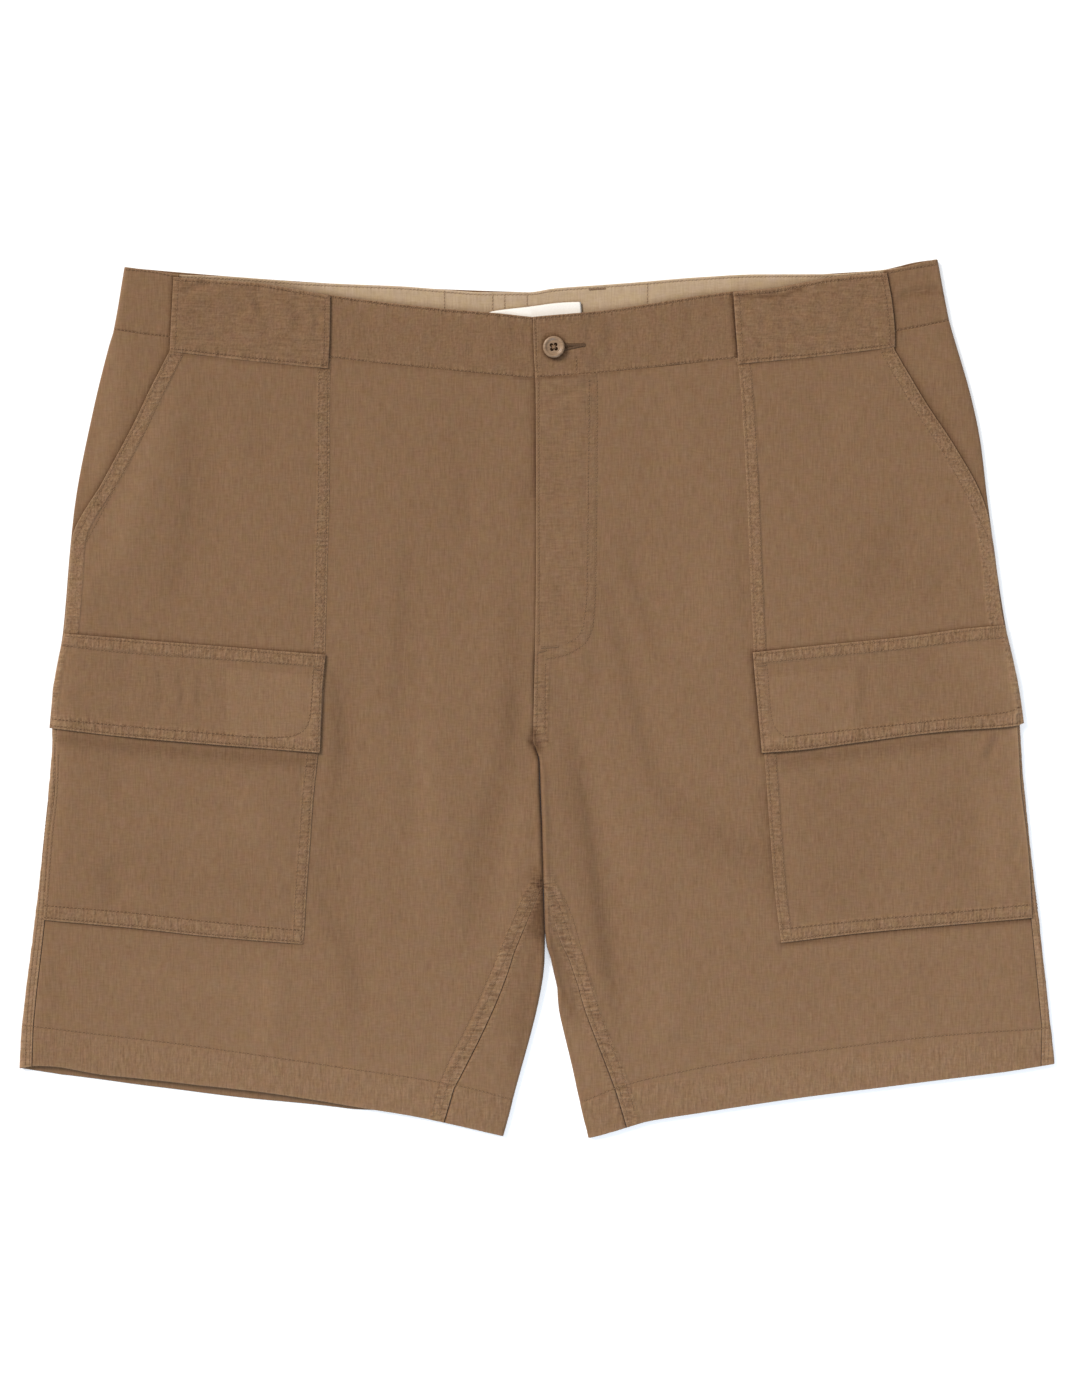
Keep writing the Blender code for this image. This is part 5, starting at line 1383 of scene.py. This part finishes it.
def thread(name, runs, wide=1.0):
    """One mesh of many stitches. runs is a list of (start, end, up) in mm; up is the cloth's way out."""
    runs = np.asarray(runs, float)          # n x 3 x 3
    a, b, up = runs[:, 0], runs[:, 1], runs[:, 2]
    way = b - a
    ln = np.linalg.norm(way, axis=1)[:, None]
    way = way / ln
    side = np.cross(way, up)
    side /= np.linalg.norm(side, axis=1)[:, None]
    up = np.cross(side, way)
    n, rings = len(runs), len(SHAPE)
    verts, tip = [], []
    for share, radius, rise in SHAPE:
        centre = a + (b - a) * share + up * rise * wide
        for k in range(AROUND):
            t = 2 * math.pi * (k + 0.5) / AROUND
            verts.append(centre + (side * math.cos(t) * 1.1 + up * math.sin(t)) * radius * wide)
            tip.append(np.full(n, abs(share - 0.5) * 2))
    verts = np.stack(verts, 1)               # n x rings*AROUND x 3
    tip = np.stack(tip, 1)
    per = rings * AROUND
    quads, tris = [], []
    for r in range(rings - 1):
        for k in range(AROUND):
            m = (k + 1) % AROUND
            quads.append((r * AROUND + k, r * AROUND + m, (r + 1) * AROUND + m, (r + 1) * AROUND + k))
    for k in range(1, AROUND - 1):
        tris.append((0, k + 1, k))
        last = (rings - 1) * AROUND
        tris.append((last, last + k, last + k + 1))
    base = (np.arange(n) * per)[:, None, None]
    quads = (np.array(quads)[None] + base).reshape(-1, 4)[:, ::-1]
    tris = (np.array(tris)[None] + base).reshape(-1, 3)[:, ::-1]
    return make_object(name, verts.reshape(-1, 3), quads, {"tip": tip.ravel()}, None, tris)


def stitches_along(tree, points, pitch, side, seed, inset=0.0):
    """Stitches along a line, dropped on to the cloth."""
    total = length(points)
    n = max(1, int(round(total / pitch)))
    rng = np.random.default_rng(seed)
    real = total / n
    starts = np.arange(n) * real + rng.uniform(-0.1, 0.1, n)
    way = Vector((0, 0, -1)) if side == "front" else Vector((0, 0, 1))
    high = 0.05 if side == "front" else -0.05
    runs = []
    for s in starts:
        pair, ups = [], []
        for q in (s + 0.17 * real, s + 0.83 * real):
            x, y = along(points, np.clip(q, 0, total))
            jitter = rng.uniform(-0.06, 0.06, 2)
            hit, normal, _, _ = tree.ray_cast(Vector(((x + jitter[0]) * MM, (y + jitter[1]) * MM, high)), way)
            if hit is None:
                break
            pair.append(np.array(hit) / MM)
            ups.append(np.array(normal))
        if len(pair) == 2 and 0.8 < np.linalg.norm(pair[1] - pair[0]) < 1.6 * pitch:
            up = ups[0] + ups[1]
            up /= np.linalg.norm(up)
            if side == "front" and up[2] < 0:
                up = -up
            if side == "back" and up[2] > 0:
                up = -up
            sink = up * 0.04
            runs.append((pair[0] - sink, pair[1] - sink, up))
    return runs


def holes_along(tree, points, pitch, side, seed, big=1.0):
    """The needle holes between the stitches, as (place, way out, way along)."""
    total = length(points)
    n = max(1, int(round(total / pitch)))
    real = total / n
    rng = np.random.default_rng(seed)
    starts = np.arange(n) * real + rng.uniform(-0.1, 0.1, n)
    way = Vector((0, 0, -1)) if side == "front" else Vector((0, 0, 1))
    high = 0.05 if side == "front" else -0.05
    found = []
    for s in starts:
        a, b = along(points, np.clip([s - 0.2, s + 0.2], 0, total))
        c = (a + b) / 2
        hit, normal, _, _ = tree.ray_cast(Vector((c[0] * MM, c[1] * MM, high)), way)
        if hit is None:
            continue
        up = np.array(normal)
        if up[2] * high < 0:
            up = -up
        if abs(up[2]) < 0.35:
            continue
        t = np.array((b[0] - a[0], b[1] - a[1], 0.0))
        size = big * (1 + rng.uniform(-0.2, 0.2))
        found.append((np.array(hit) / MM + up * 0.06, up, t / max(np.linalg.norm(t), 1e-9) * size))
    return found


def needle_holes(name, found):
    """Small dark pits, drawn out along the seam; their dark colour is painted shade in the needle holes."""
    c, up, way = (np.array([f[k] for f in found]) for k in range(3))
    side = np.cross(way, up)
    way = np.cross(up, side)
    n, around = len(c), 7
    verts = [c - up * 0.10]
    for k in range(around):
        t = 2 * math.pi * k / around
        verts.append(c + way * math.cos(t) * 0.50 + side * math.sin(t) * 0.44)
    verts = np.stack(verts, 1)
    tris = np.array([(0, 1 + k, 1 + (k + 1) % around) for k in range(around)])
    tris = (tris[None] + (np.arange(n) * (around + 1))[:, None, None]).reshape(-1, 3)
    p = verts.reshape(-1, 3)
    normal = np.cross(p[tris[0, 1]] - p[tris[0, 0]], p[tris[0, 2]] - p[tris[0, 0]])
    if normal @ up[0] < 0:
        tris = tris[:, ::-1]
    return make_object(name, p, np.zeros((0, 4), int), {}, None, tris)


def zigzag(tree, points, half, pitch, side="front"):
    """Close stitches across a short line, as in a bar tack."""
    total = length(points)
    n = int(total / pitch)
    runs = []
    way = Vector((0, 0, -1)) if side == "front" else Vector((0, 0, 1))
    t = np.gradient(points, axis=0)
    t /= np.linalg.norm(t, axis=1)[:, None]
    for k in range(n + 1):
        q = total * k / n
        c = along(points, q)
        d = t[min(int(q / total * (len(t) - 1)), len(t) - 1)]
        cross = np.array([-d[1], d[0]]) * half
        a, b = c - cross, c + cross
        pair = []
        for p in (a, b):
            hit, normal, _, _ = tree.ray_cast(Vector((p[0] * MM, p[1] * MM, 0.05 if side == "front" else -0.05)), way)
            if hit is None:
                break
            pair.append(np.array(hit) / MM)
        if len(pair) == 2:
            runs.append((pair[0], pair[1], np.array((0, 0, 1.0 if side == "front" else -1.0))))
    return runs


def build_threads():
    made = []
    groups = {}
    for s in SEWN:
        if not s.pitch:
            continue
        groups.setdefault((tuple(s.on), s.side), []).append(s)
    parts, pits = {}, {}
    for (on, side), lines in groups.items():
        tree = surfaces(on)
        for s in lines:
            seed = sum(ord(c) for c in s.name) * 7 + len(s.name)
            runs = stitches_along(tree, s.points, s.pitch, side, seed)
            kind = on[0].replace("_right", "").replace("_left", "")
            if side == "back":
                kind = "underside"
            parts.setdefault(kind, []).extend(runs)
            pits.setdefault(kind, []).extend(holes_along(tree, s.points, s.pitch, side, seed, s.holes))
    for kind, runs in parts.items():
        if runs:
            made.append(thread(f"stitches_{kind}", runs))
            made.append(needle_holes(f"needle_holes_{kind}", pits[kind]))
    return made


# ---- materials ------------------------------------------------------------------------
class Nodes:
    """A short way to write a material's nodes."""

    def __init__(self, name):
        self.material = bpy.data.materials.new(name)
        self.material.use_nodes = True
        self.tree = self.material.node_tree
        self.shader = self.tree.nodes["Principled BSDF"]
        self.tree.nodes["Material Output"].location = (900, 0)

    def add(self, kind, **values):
        node = self.tree.nodes.new("ShaderNode" + kind)
        for key, value in values.items():
            setattr(node, key, value)
        return node

    def link(self, a, b):
        self.tree.links.new(a, b)

    def math(self, operation, a, b=None, clamp=False):
        node = self.add("Math", operation=operation, use_clamp=clamp)
        for k, v in enumerate((a, b)):
            if v is None:
                continue
            if isinstance(v, (int, float)):
                node.inputs[k].default_value = v
            else:
                self.link(v, node.inputs[k])
        return node.outputs[0]

    def noise(self, vector, scale, detail=2.0, rough=0.5, distortion=0.0):
        m = self.add("Mapping")
        self.link(vector, m.inputs["Vector"])
        m.inputs["Scale"].default_value = scale
        n = self.add("TexNoise")
        n.inputs["Scale"].default_value = 1.0
        n.inputs["Detail"].default_value = detail
        n.inputs["Roughness"].default_value = rough
        n.inputs["Distortion"].default_value = distortion
        self.link(m.outputs["Vector"], n.inputs["Vector"])
        return n.outputs["Fac"]

    def attribute(self, name):
        return self.add("Attribute", attribute_name=name).outputs["Fac"]

    def mix(self, fac, a, b, kind="MIX"):
        node = self.add("Mix", data_type="RGBA", blend_type=kind)
        for socket, v in ((node.inputs[0], fac), (node.inputs[6], a), (node.inputs[7], b)):
            if isinstance(v, (int, float)):
                socket.default_value = v
            elif isinstance(v, tuple):
                socket.default_value = (*v, 1.0) if len(v) == 3 else v
            else:
                self.link(v, socket)
        return node.outputs[2]


def cloth_material(name, warm, cool, streak=1.0):
    """Fine plain weave with short upright slubs. Coordinates are metres along the grain."""
    m = Nodes(name)
    uv = m.add("UVMap", uv_map="cloth").outputs["UV"]
    warp = m.noise(uv, (1080, 90, 1), 2.0, 0.66)          # threads along the leg
    weft = m.noise(uv, (190, 980, 1), 2.0, 0.6)
    slub = m.noise(uv, (480, 60, 1), 2.0, 0.55)
    mottle = m.noise(uv, (75, 45, 1), 3.0, 0.55)
    tint = m.noise(uv, (150, 95, 1), 3.0, 0.6)
    cast = m.noise(uv, (120, 150, 1), 2.0, 0.6)
    grit = m.noise(uv, (560, 560, 1), 2.0, 0.6)           # small puckers
    rungs = m.noise(uv, (620, 125, 1), 1.0, 0.5, 0.5)     # short puckers from stitch to stitch, across a band
    steps = m.noise(uv, (125, 620, 1), 1.0, 0.5, 0.5)

    def share(fac, amount, middle=0.5):
        return m.math("MULTIPLY", m.math("SUBTRACT", fac, middle), amount)

    value = m.math("ADD", share(warp, 0.68 * streak), share(weft, 0.44 * streak))
    value = m.math("ADD", value, share(slub, 0.08 * streak))
    value = m.math("ADD", value, share(mottle, 0.02))
    band, upright, rough_at = m.attribute("band"), m.attribute("upright"), m.attribute("rough")
    seam, rim = m.attribute("seam"), m.attribute("rim")
    sewn = m.math("MAXIMUM", m.math("MAXIMUM", band, upright), rough_at)
    # the puckers' light and shade is painted into the colour as well as into the bump
    ladder = m.math("ADD", m.math("MULTIPLY", share(rungs, 1.0, 0.49), band), m.math("MULTIPLY", share(steps, 1.0, 0.49), upright))
    value = m.math("ADD", value, m.math("MULTIPLY", ladder, 0.95))
    value = m.math("ADD", value, m.math("MULTIPLY", share(grit, 0.70, 0.47), sewn))
    # painted highlight along the pieces' edges
    value = m.math("ADD", value, m.math("MULTIPLY", rim, 0.22))
    # tone: the painted light and shade worked out on each piece, with each piece's own tint
    value = m.math("ADD", value, m.attribute("tone"))
    # painted shade along the stitch lines' grooves
    value = m.math("SUBTRACT", value, m.math("MULTIPLY", seam, 0.06))
    gain = m.math("ADD", value, 1.0)
    pick = m.math("ADD", share(tint, 1.5), 0.5, True)
    base = m.mix(pick, cool, warm)
    # painted shade: the colour is darkened in the crevices between the layers and beside the stitches, by how closed in
    # they are
    crevice_shade = m.add("AmbientOcclusion", samples=6)
    crevice_shade.inputs["Distance"].default_value = 0.0022
    deep = m.math("ADD", m.math("MULTIPLY", crevice_shade.outputs["AO"], 0.62), 0.38)
    gain = m.math("MAXIMUM", m.math("MULTIPLY", gain, deep), 0.06)
    # painted shade turns warmer: where the colour is painted darker it also turns warmer, as cloth in shade is lit
    # through itself
    warmth = m.add("CombineXYZ")              # what lies deep is warmer, lit through the cloth
    for socket, power in (("X", 0.84), ("Y", 1.0)):
        m.link(m.math("POWER", gain, power), warmth.inputs[socket])
    blue = m.math("ADD", share(cast, 0.34), 1.0)          # the dye takes a little unevenly
    m.link(m.math("MULTIPLY", m.math("POWER", gain, 1.16), blue), warmth.inputs["Z"])
    scaled = m.add("VectorMath", operation="MULTIPLY")
    m.link(base, scaled.inputs[0])
    m.link(warmth.outputs[0], scaled.inputs[1])
    m.link(scaled.outputs[0], m.shader.inputs["Base Color"])
    rough = m.math("ADD", m.math("MULTIPLY", slub, 0.12), 0.82)
    m.link(rough, m.shader.inputs["Roughness"])
    m.shader.inputs["Specular IOR Level"].default_value = 0.18
    m.shader.inputs["Sheen Weight"].default_value = 0.16
    m.shader.inputs["Sheen Roughness"].default_value = 0.4
    # threads crossing, slubs and puckers as bump
    waves = []
    for way, scale in (("X", 340.0), ("Y", 310.0)):
        wave = m.add("TexWave", wave_type="BANDS", bands_direction=way, wave_profile="SIN")
        wave.inputs["Scale"].default_value = scale
        wave.inputs["Distortion"].default_value = 1.2
        wave.inputs["Detail"].default_value = 1.0
        wave.inputs["Detail Scale"].default_value = 0.6
        m.link(uv, wave.inputs["Vector"])
        waves.append(wave.outputs["Fac"])
    threads = m.math("MULTIPLY", waves[0], waves[1])
    height = m.math("ADD", m.math("MULTIPLY", threads, 0.05), m.math("MULTIPLY", warp, 0.22))
    height = m.math("ADD", height, m.math("MULTIPLY", weft, 0.12))
    height = m.math("ADD", height, m.math("MULTIPLY", slub, 0.12))
    height = m.math("ADD", height, m.math("MULTIPLY", m.math("MULTIPLY", grit, sewn), 1.2))
    height = m.math("ADD", height, m.math("MULTIPLY", ladder, 1.6))
    bump = m.add("Bump")
    bump.inputs["Strength"].default_value = 0.7
    bump.inputs["Distance"].default_value = 0.0006
    m.link(height, bump.inputs["Height"])
    m.link(bump.outputs["Normal"], m.shader.inputs["Normal"])
    return m.material


def thread_material(name, colour, dark):
    m = Nodes(name)
    # painted shade: each stitch is darker towards its ends, where it goes into the cloth
    tip = m.attribute("tip")
    shade = m.math("POWER", tip, 2.2)
    geo = m.add("TexCoord").outputs["Object"]
    n = m.noise(geo, (900, 900, 900), 1.0)
    vary = m.math("ADD", m.math("MULTIPLY", n, 0.25), 0.87)
    base = m.mix(shade, colour, dark)
    scaled = m.add("VectorMath", operation="SCALE")
    m.link(base, scaled.inputs[0])
    m.link(vary, scaled.inputs["Scale"])
    m.link(scaled.outputs[0], m.shader.inputs["Base Color"])
    m.shader.inputs["Roughness"].default_value = 0.75
    m.shader.inputs["Specular IOR Level"].default_value = 0.15
    twist = m.add("TexWave", wave_type="BANDS", bands_direction="DIAGONAL", wave_profile="SIN")
    twist.inputs["Scale"].default_value = 900.0
    m.link(geo, twist.inputs["Vector"])
    bump = m.add("Bump")
    bump.inputs["Strength"].default_value = 0.4
    bump.inputs["Distance"].default_value = 0.0001
    m.link(twist.outputs["Fac"], bump.inputs["Height"])
    m.link(bump.outputs["Normal"], m.shader.inputs["Normal"])
    return m.material


def label_material():
    m = Nodes("label_cloth")
    uv = m.add("UVMap", uv_map="cloth").outputs["UV"]
    fine = m.noise(uv, (2200, 300, 1), 2.0)
    soft = m.noise(uv, (90, 60, 1), 2.0)
    value = m.math("ADD", m.math("MULTIPLY", m.math("SUBTRACT", fine, 0.5), 0.08),
                   m.math("MULTIPLY", m.math("SUBTRACT", soft, 0.5), 0.06))
    value = m.math("ADD", value, 1.0)
    scaled = m.add("VectorMath", operation="SCALE")
    scaled.inputs[0].default_value = (0.855, 0.791, 0.716)
    m.link(value, scaled.inputs["Scale"])
    m.link(scaled.outputs[0], m.shader.inputs["Base Color"])
    m.shader.inputs["Roughness"].default_value = 0.55
    m.shader.inputs["Sheen Weight"].default_value = 0.1
    bump = m.add("Bump")
    bump.inputs["Strength"].default_value = 0.3
    bump.inputs["Distance"].default_value = 0.0003
    m.link(fine, bump.inputs["Height"])
    m.link(bump.outputs["Normal"], m.shader.inputs["Normal"])
    return m.material


def horn_material():
    """Resin that looks like horn: drawn-out clouds of tan in brown, satin."""
    m = Nodes("button_resin")
    geo = m.add("TexCoord").outputs["Object"]
    clouds = m.noise(geo, (260, 700, 300), 4.0, 0.6, 0.6)
    fine = m.noise(geo, (1200, 3200, 1500), 2.0)
    ramp = m.add("ValToRGB")
    m.link(clouds, ramp.inputs["Fac"])
    e = ramp.color_ramp.elements
    e[0].position, e[0].color = 0.30, (0.165, 0.095, 0.052, 1)
    e[1].position, e[1].color = 0.74, (0.33, 0.205, 0.118, 1)
    tone = m.mix(m.math("MULTIPLY", fine, 0.22), ramp.outputs["Color"], (0.40, 0.265, 0.16))
    m.link(tone, m.shader.inputs["Base Color"])
    rough = m.math("ADD", m.math("MULTIPLY", fine, 0.15), 0.32)
    m.link(rough, m.shader.inputs["Roughness"])
    bump = m.add("Bump")
    bump.inputs["Strength"].default_value = 0.15
    bump.inputs["Distance"].default_value = 0.0002
    m.link(clouds, bump.inputs["Height"])
    m.link(bump.outputs["Normal"], m.shader.inputs["Normal"])
    return m.material


# ---- button, buttonhole, label ---------------------------------------------------------
def make_button(material):
    """A turned button with a raised rim, a dished middle and four holes."""
    x, y = BUTTON_AT
    base = CLOTH + float(loft(np.array(x), np.array(y), True)) + 0.35
    profile = ((0.0, 0.0), (5.0, 0.0), (6.3, 0.35), (6.95, 1.0), (7.1, 1.6), (6.95, 2.2), (6.5, 2.65),
               (6.0, 2.8), (5.5, 2.72), (5.05, 2.4), (4.7, 2.1), (4.3, 1.92), (3.6, 1.85), (0.0, 1.8))
    steps = 72
    p = np.array(profile)
    dp = [p[0]]
    for a, b in zip(p[:-1], p[1:]):
        for k in range(1, 4):
            dp.append(a + (b - a) * k / 3)
    bm = bmesh.new()
    rings = []
    for r, z in dp:
        if r < 1e-6:
            rings.append([bm.verts.new((0, 0, z * MM))])
        else:
            rings.append([bm.verts.new((r * MM * math.cos(2 * math.pi * k / steps),
                                        r * MM * math.sin(2 * math.pi * k / steps), z * MM)) for k in range(steps)])
    for a, b in zip(rings, rings[1:]):
        for k in range(steps):
            m = (k + 1) % steps
            if len(a) == 1:
                bm.faces.new([a[0], b[m], b[k]])
            elif len(b) == 1:
                bm.faces.new([a[k], a[m], b[0]])
            else:
                bm.faces.new([a[k], a[m], b[m], b[k]])
    bmesh.ops.recalc_face_normals(bm, faces=bm.faces)
    mesh = bpy.data.meshes.new("button_turned")
    bm.to_mesh(mesh)
    bm.free()
    obj = bpy.data.objects.new("button_turned", mesh)
    bpy.context.scene.collection.objects.link(obj)
    bm = bmesh.new()
    for k in range(4):
        turn = math.pi / 4 + k * math.pi / 2 + 0.12
        made = bmesh.ops.create_cone(bm, cap_ends=True, segments=24, radius1=1.24 * MM, radius2=1.24 * MM, depth=8 * MM)
        bmesh.ops.translate(bm, verts=made["verts"], vec=(
            1.90 * MM * math.cos(turn), 1.90 * MM * math.sin(turn), 1.4 * MM))
    cut = bpy.data.meshes.new("cut")
    bm.to_mesh(cut)
    bm.free()
    cutter = bpy.data.objects.new("cut", cut)
    bpy.context.scene.collection.objects.link(cutter)
    mod = obj.modifiers.new("holes", "BOOLEAN")
    mod.operation, mod.object = "DIFFERENCE", cutter
    soft = obj.modifiers.new("soft", "BEVEL")
    soft.width, soft.segments, soft.limit_method, soft.angle_limit = 0.12 * MM, 2, "ANGLE", math.radians(50)
    dg = bpy.context.evaluated_depsgraph_get()
    final = bpy.data.meshes.new_from_object(obj.evaluated_get(dg))
    bpy.data.objects.remove(obj)
    bpy.data.objects.remove(cutter)
    final.transform(moved((x, y, base)))
    final.shade_smooth()
    final.set_sharp_from_angle(angle=math.radians(40))
    button = bpy.data.objects.new("button_horn", final)
    bpy.context.scene.collection.objects.link(button)
    final.materials.clear()
    final.materials.append(material)
    return button, base


def moved(at):
    return Matrix.Translation(Vector(at) * MM)


def button_thread(base):
    """Thread through the four holes in a cross."""
    x, y = BUTTON_AT
    top = base + 1.86
    runs = []
    up = np.array((0, 0, 1.0))
    for k in range(4):
        t = math.pi / 4 + k * math.pi / 2 + 0.12
        c = np.array((x + 1.91 * math.cos(t), y + 1.91 * math.sin(t), top))
        t2 = t + math.pi
        d = np.array((x + 1.91 * math.cos(t2), y + 1.91 * math.sin(t2), top))
        if k < 2:
            for off in (-0.22, 0.06, 0.3):
                s = np.array((-math.sin(t), math.cos(t), 0)) * off
                runs.append((c + s + (d - c) * 0.02, d + s - (d - c) * 0.02, up))
    return thread("button_thread", runs, 0.9)


def buttonhole(tree):
    """Satin stitches round the slit that the button comes through."""
    runs = []
    a, b = g([(563.5, 347.6), (583.5, 345.4)])
    way = (b - a) / np.linalg.norm(b - a)
    side = np.array([-way[1], way[0]])
    n = int(np.linalg.norm(b - a) / 0.5)
    for row_side in (1, -1):
        for k in range(n + 1):
            c = a + (b - a) * k / n
            wide = (2.3 if row_side > 0 else 2.5) - 1.4 * k / n
            p, q = c + side * (wide - 1.95) * row_side, c + side * (wide + 0.2) * row_side
            z = []
            for w in (p, q):
                hit, *_ = tree.ray_cast(Vector((w[0] * MM, w[1] * MM, 0.05)), Vector((0, 0, -1)))
                z.append(hit[2] / MM if hit else 5.0)
            runs.append((np.array((*p, z[0] + 0.18)), np.array((*q, z[1] + 0.1)), np.array((0, 0, 1.0))))
    for k in range(9):                        # the round end
        t = -math.pi / 2 + math.pi * k / 8
        d = way * math.cos(t) + side * math.sin(t)
        p, q = b + d * 0.3, b + d * 1.4
        hit, *_ = tree.ray_cast(Vector((q[0] * MM, q[1] * MM, 0.05)), Vector((0, 0, -1)))
        z = hit[2] / MM if hit else 5.0
        runs.append((np.array((*p, z + 0.18)), np.array((*q, z + 0.1)), np.array((0, 0, 1.0))))
    return thread("buttonhole", runs, 0.9)


def make_label():
    """A blank woven label on the facing, its foot behind the front band."""
    top, bottom = ((486, 313.4), (493, 311.2), (500, 310.0), (529, 306.6), (559, 302.7), (571, 302), (580.8, 301.8)), ((492, 345), (540, 341), (584, 336.4))
    T, B = dense(g(top)), dense(g(bottom))
    s, t = np.linspace(0, 1, 60), np.linspace(0, 1, 26)
    P = along(T, s * length(T))[None] * (1 - t[:, None, None]) + along(B, s * length(B))[None] * t[:, None, None]
    x, y = P[..., 0], P[..., 1]
    et, eb, el, er = border_distances(P)
    e = np.minimum(np.minimum(et, eb), np.minimum(el, er))
    mid = 3.1 + 0.12 * noise(x / 14, y / 10, 4) + 0.10 * np.exp(-er / 4)
    f = edge_round(e, 0.3)
    fold = 0.12 * np.exp(-((el - 1.6) / 0.6) ** 2) + 0.12 * np.exp(-((er - 1.6) / 0.6) ** 2)
    up, down = mid + f * (0.28 - 0.5 * fold), mid - f * 0.28
    one = {"band": np.zeros(x.shape), "seam": np.zeros(x.shape), "rim": np.exp(-(e / 0.5) ** 2)}
    return shell("label", np.stack([x, y, up], -1), np.stack([x, y, down], -1), one, 5)


def bar_tacks():
    runs = []
    tree = surfaces(["front_left"])
    runs += zigzag(tree, line(((541, 647.6), (557.6, 646.8))), 0.9, 0.5)
    runs += zigzag(tree, line(((538, 652.6), (546, 650.4))), 0.7, 0.5)
    for n, pts in (("cargo_flap_right", (((314, 669), (321.4, 669.8)),)), ("cargo_flap_left", (((756.5, 665.6), (766, 664.8)),))):
        tree = surfaces([n])
        for p in pts:
            runs += zigzag(tree, line(p), 0.8, 0.5)
    tree = surfaces(["waistband_back_facing"])
    runs += zigzag(tree, line(((589.5, 289.6), (605.5, 288.4))), 0.6, 0.5)
    return thread("bar_tacks", runs, 0.8)


# ---- studio -----------------------------------------------------------------------------
def studio():
    scene = bpy.context.scene
    world = bpy.data.worlds.new("studio")
    scene.world = world
    world.use_nodes = True
    back = world.node_tree.nodes["Background"]
    back.inputs["Color"].default_value = (1.0, 0.995, 0.985, 1)
    back.inputs["Strength"].default_value = 0.50

    mesh = bpy.data.meshes.new("floor")
    steps, r = 96, 14.0
    mesh.from_pydata([(r * math.cos(2 * math.pi * k / steps), r * math.sin(2 * math.pi * k / steps), -0.0004)
                      for k in range(steps)], [], [list(range(steps))])
    floor = bpy.data.objects.new("floor", mesh)
    scene.collection.objects.link(floor)
    m = Nodes("floor")
    m.shader.inputs["Base Color"].default_value = (0.86, 0.86, 0.86, 1)
    m.shader.inputs["Roughness"].default_value = 0.9
    m.shader.inputs["Specular IOR Level"].default_value = 0.1
    m.shader.inputs["Emission Color"].default_value = (1, 1, 1, 1)
    m.shader.inputs["Emission Strength"].default_value = 0.34
    # seen from below it lets the underside show
    see = m.add("BsdfTransparent")
    mix = m.add("MixShader")
    geo = m.add("NewGeometry")
    m.link(geo.outputs["Backfacing"], mix.inputs[0])
    m.link(m.shader.outputs[0], mix.inputs[1])
    m.link(see.outputs[0], mix.inputs[2])
    m.link(mix.outputs[0], m.tree.nodes["Material Output"].inputs["Surface"])
    mesh.materials.append(m.material)

    def sun(name, towards, strength, degrees, colour):
        data = bpy.data.lights.new(name, "SUN")
        data.energy, data.angle, data.color = strength, math.radians(degrees), colour
        obj = bpy.data.objects.new(name, data)
        obj.rotation_euler = Vector(towards).to_track_quat("Z", "Y").to_euler()
        scene.collection.objects.link(obj)

    sun("key", (-0.80, 0.62, 0.74), 3.22, 24, (1.0, 0.985, 0.955))
    data = bpy.data.lights.new("foot", "AREA")
    data.shape, data.size, data.energy, data.color = "DISK", 0.9, 8.0, (0.74, 0.98, 1.28)
    obj = bpy.data.objects.new("foot", data)
    obj.location = (0.35, -1.10, 0.95)
    obj.rotation_euler = Vector((0.05, -0.85, 0.9)).to_track_quat("Z", "Y").to_euler()
    scene.collection.objects.link(obj)

    cam = bpy.data.cameras.new("camera")
    cam.lens, cam.sensor_width = 85, 36
    obj = bpy.data.objects.new("camera", cam)
    obj.location = (0.00195, 0.0065, 2.1179)
    scene.collection.objects.link(obj)
    scene.camera = obj
    scene.view_settings.view_transform = "Standard"
    scene.view_settings.look = "None"


# ---- all together --------------------------------------------------------------------
build_cloth()
label = make_label()
threads = build_threads()
tacks = bar_tacks()

SHELL = cloth_material("shell_cloth", (0.2005, 0.1031, 0.0543), (0.1865, 0.1102, 0.0545))
TAN = cloth_material("facing_cloth", (0.415, 0.286, 0.178), (0.40, 0.283, 0.176), 0.7)
LABEL = label_material()
THREAD = thread_material("thread", (0.245, 0.142, 0.078), (0.08, 0.043, 0.022))
THREAD_TAN = thread_material("thread_tan", (0.40, 0.265, 0.165), (0.20, 0.12, 0.07))
THREAD_DARK = thread_material("thread_dark", (0.130, 0.072, 0.039), (0.05, 0.027, 0.014))
# the needle holes' colour is painted shade: a dark brown for the shade inside the holes
PAINTED_PIT_SHADE = thread_material("needle_hole", (0.095, 0.048, 0.023), (0.095, 0.048, 0.023))
PAINTED_PIT_SHADE_TAN = thread_material("needle_hole_tan", (0.19, 0.12, 0.072), (0.19, 0.12, 0.072))
HORN = horn_material()

button, button_base = make_button(HORN)
cross = button_thread(button_base)
hole = buttonhole(surfaces(["waistband_front_left"]))

# each piece takes its material and the root body, and its solid is hidden
for name, obj in PIECES.items():
    material = {"waistband_back_facing": TAN, "label": LABEL}.get(name, SHELL)
    obj.data.materials.append(material)
    obj.name = name + "_cloth"
    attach(obj, "root")
    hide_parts(name)
for obj in (*threads, tacks, hole, cross):
    dark, tan = "holes" in obj.name, "facing" in obj.name
    obj.data.materials.append((PAINTED_PIT_SHADE_TAN if tan else PAINTED_PIT_SHADE) if dark else THREAD_DARK if obj is hole else THREAD_TAN if tan else THREAD)
    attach(obj, "root")
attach(button, "root")
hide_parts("button")

studio()

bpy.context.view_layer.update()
total = 0
for o in bpy.context.scene.objects:
    if o.type == "MESH" and not o.hide_render and o.name != "floor":
        n = sum(len(p.vertices) - 2 for p in o.data.polygons)
        total += n
        print("triangles", o.name, n)
print("triangles in all", total)
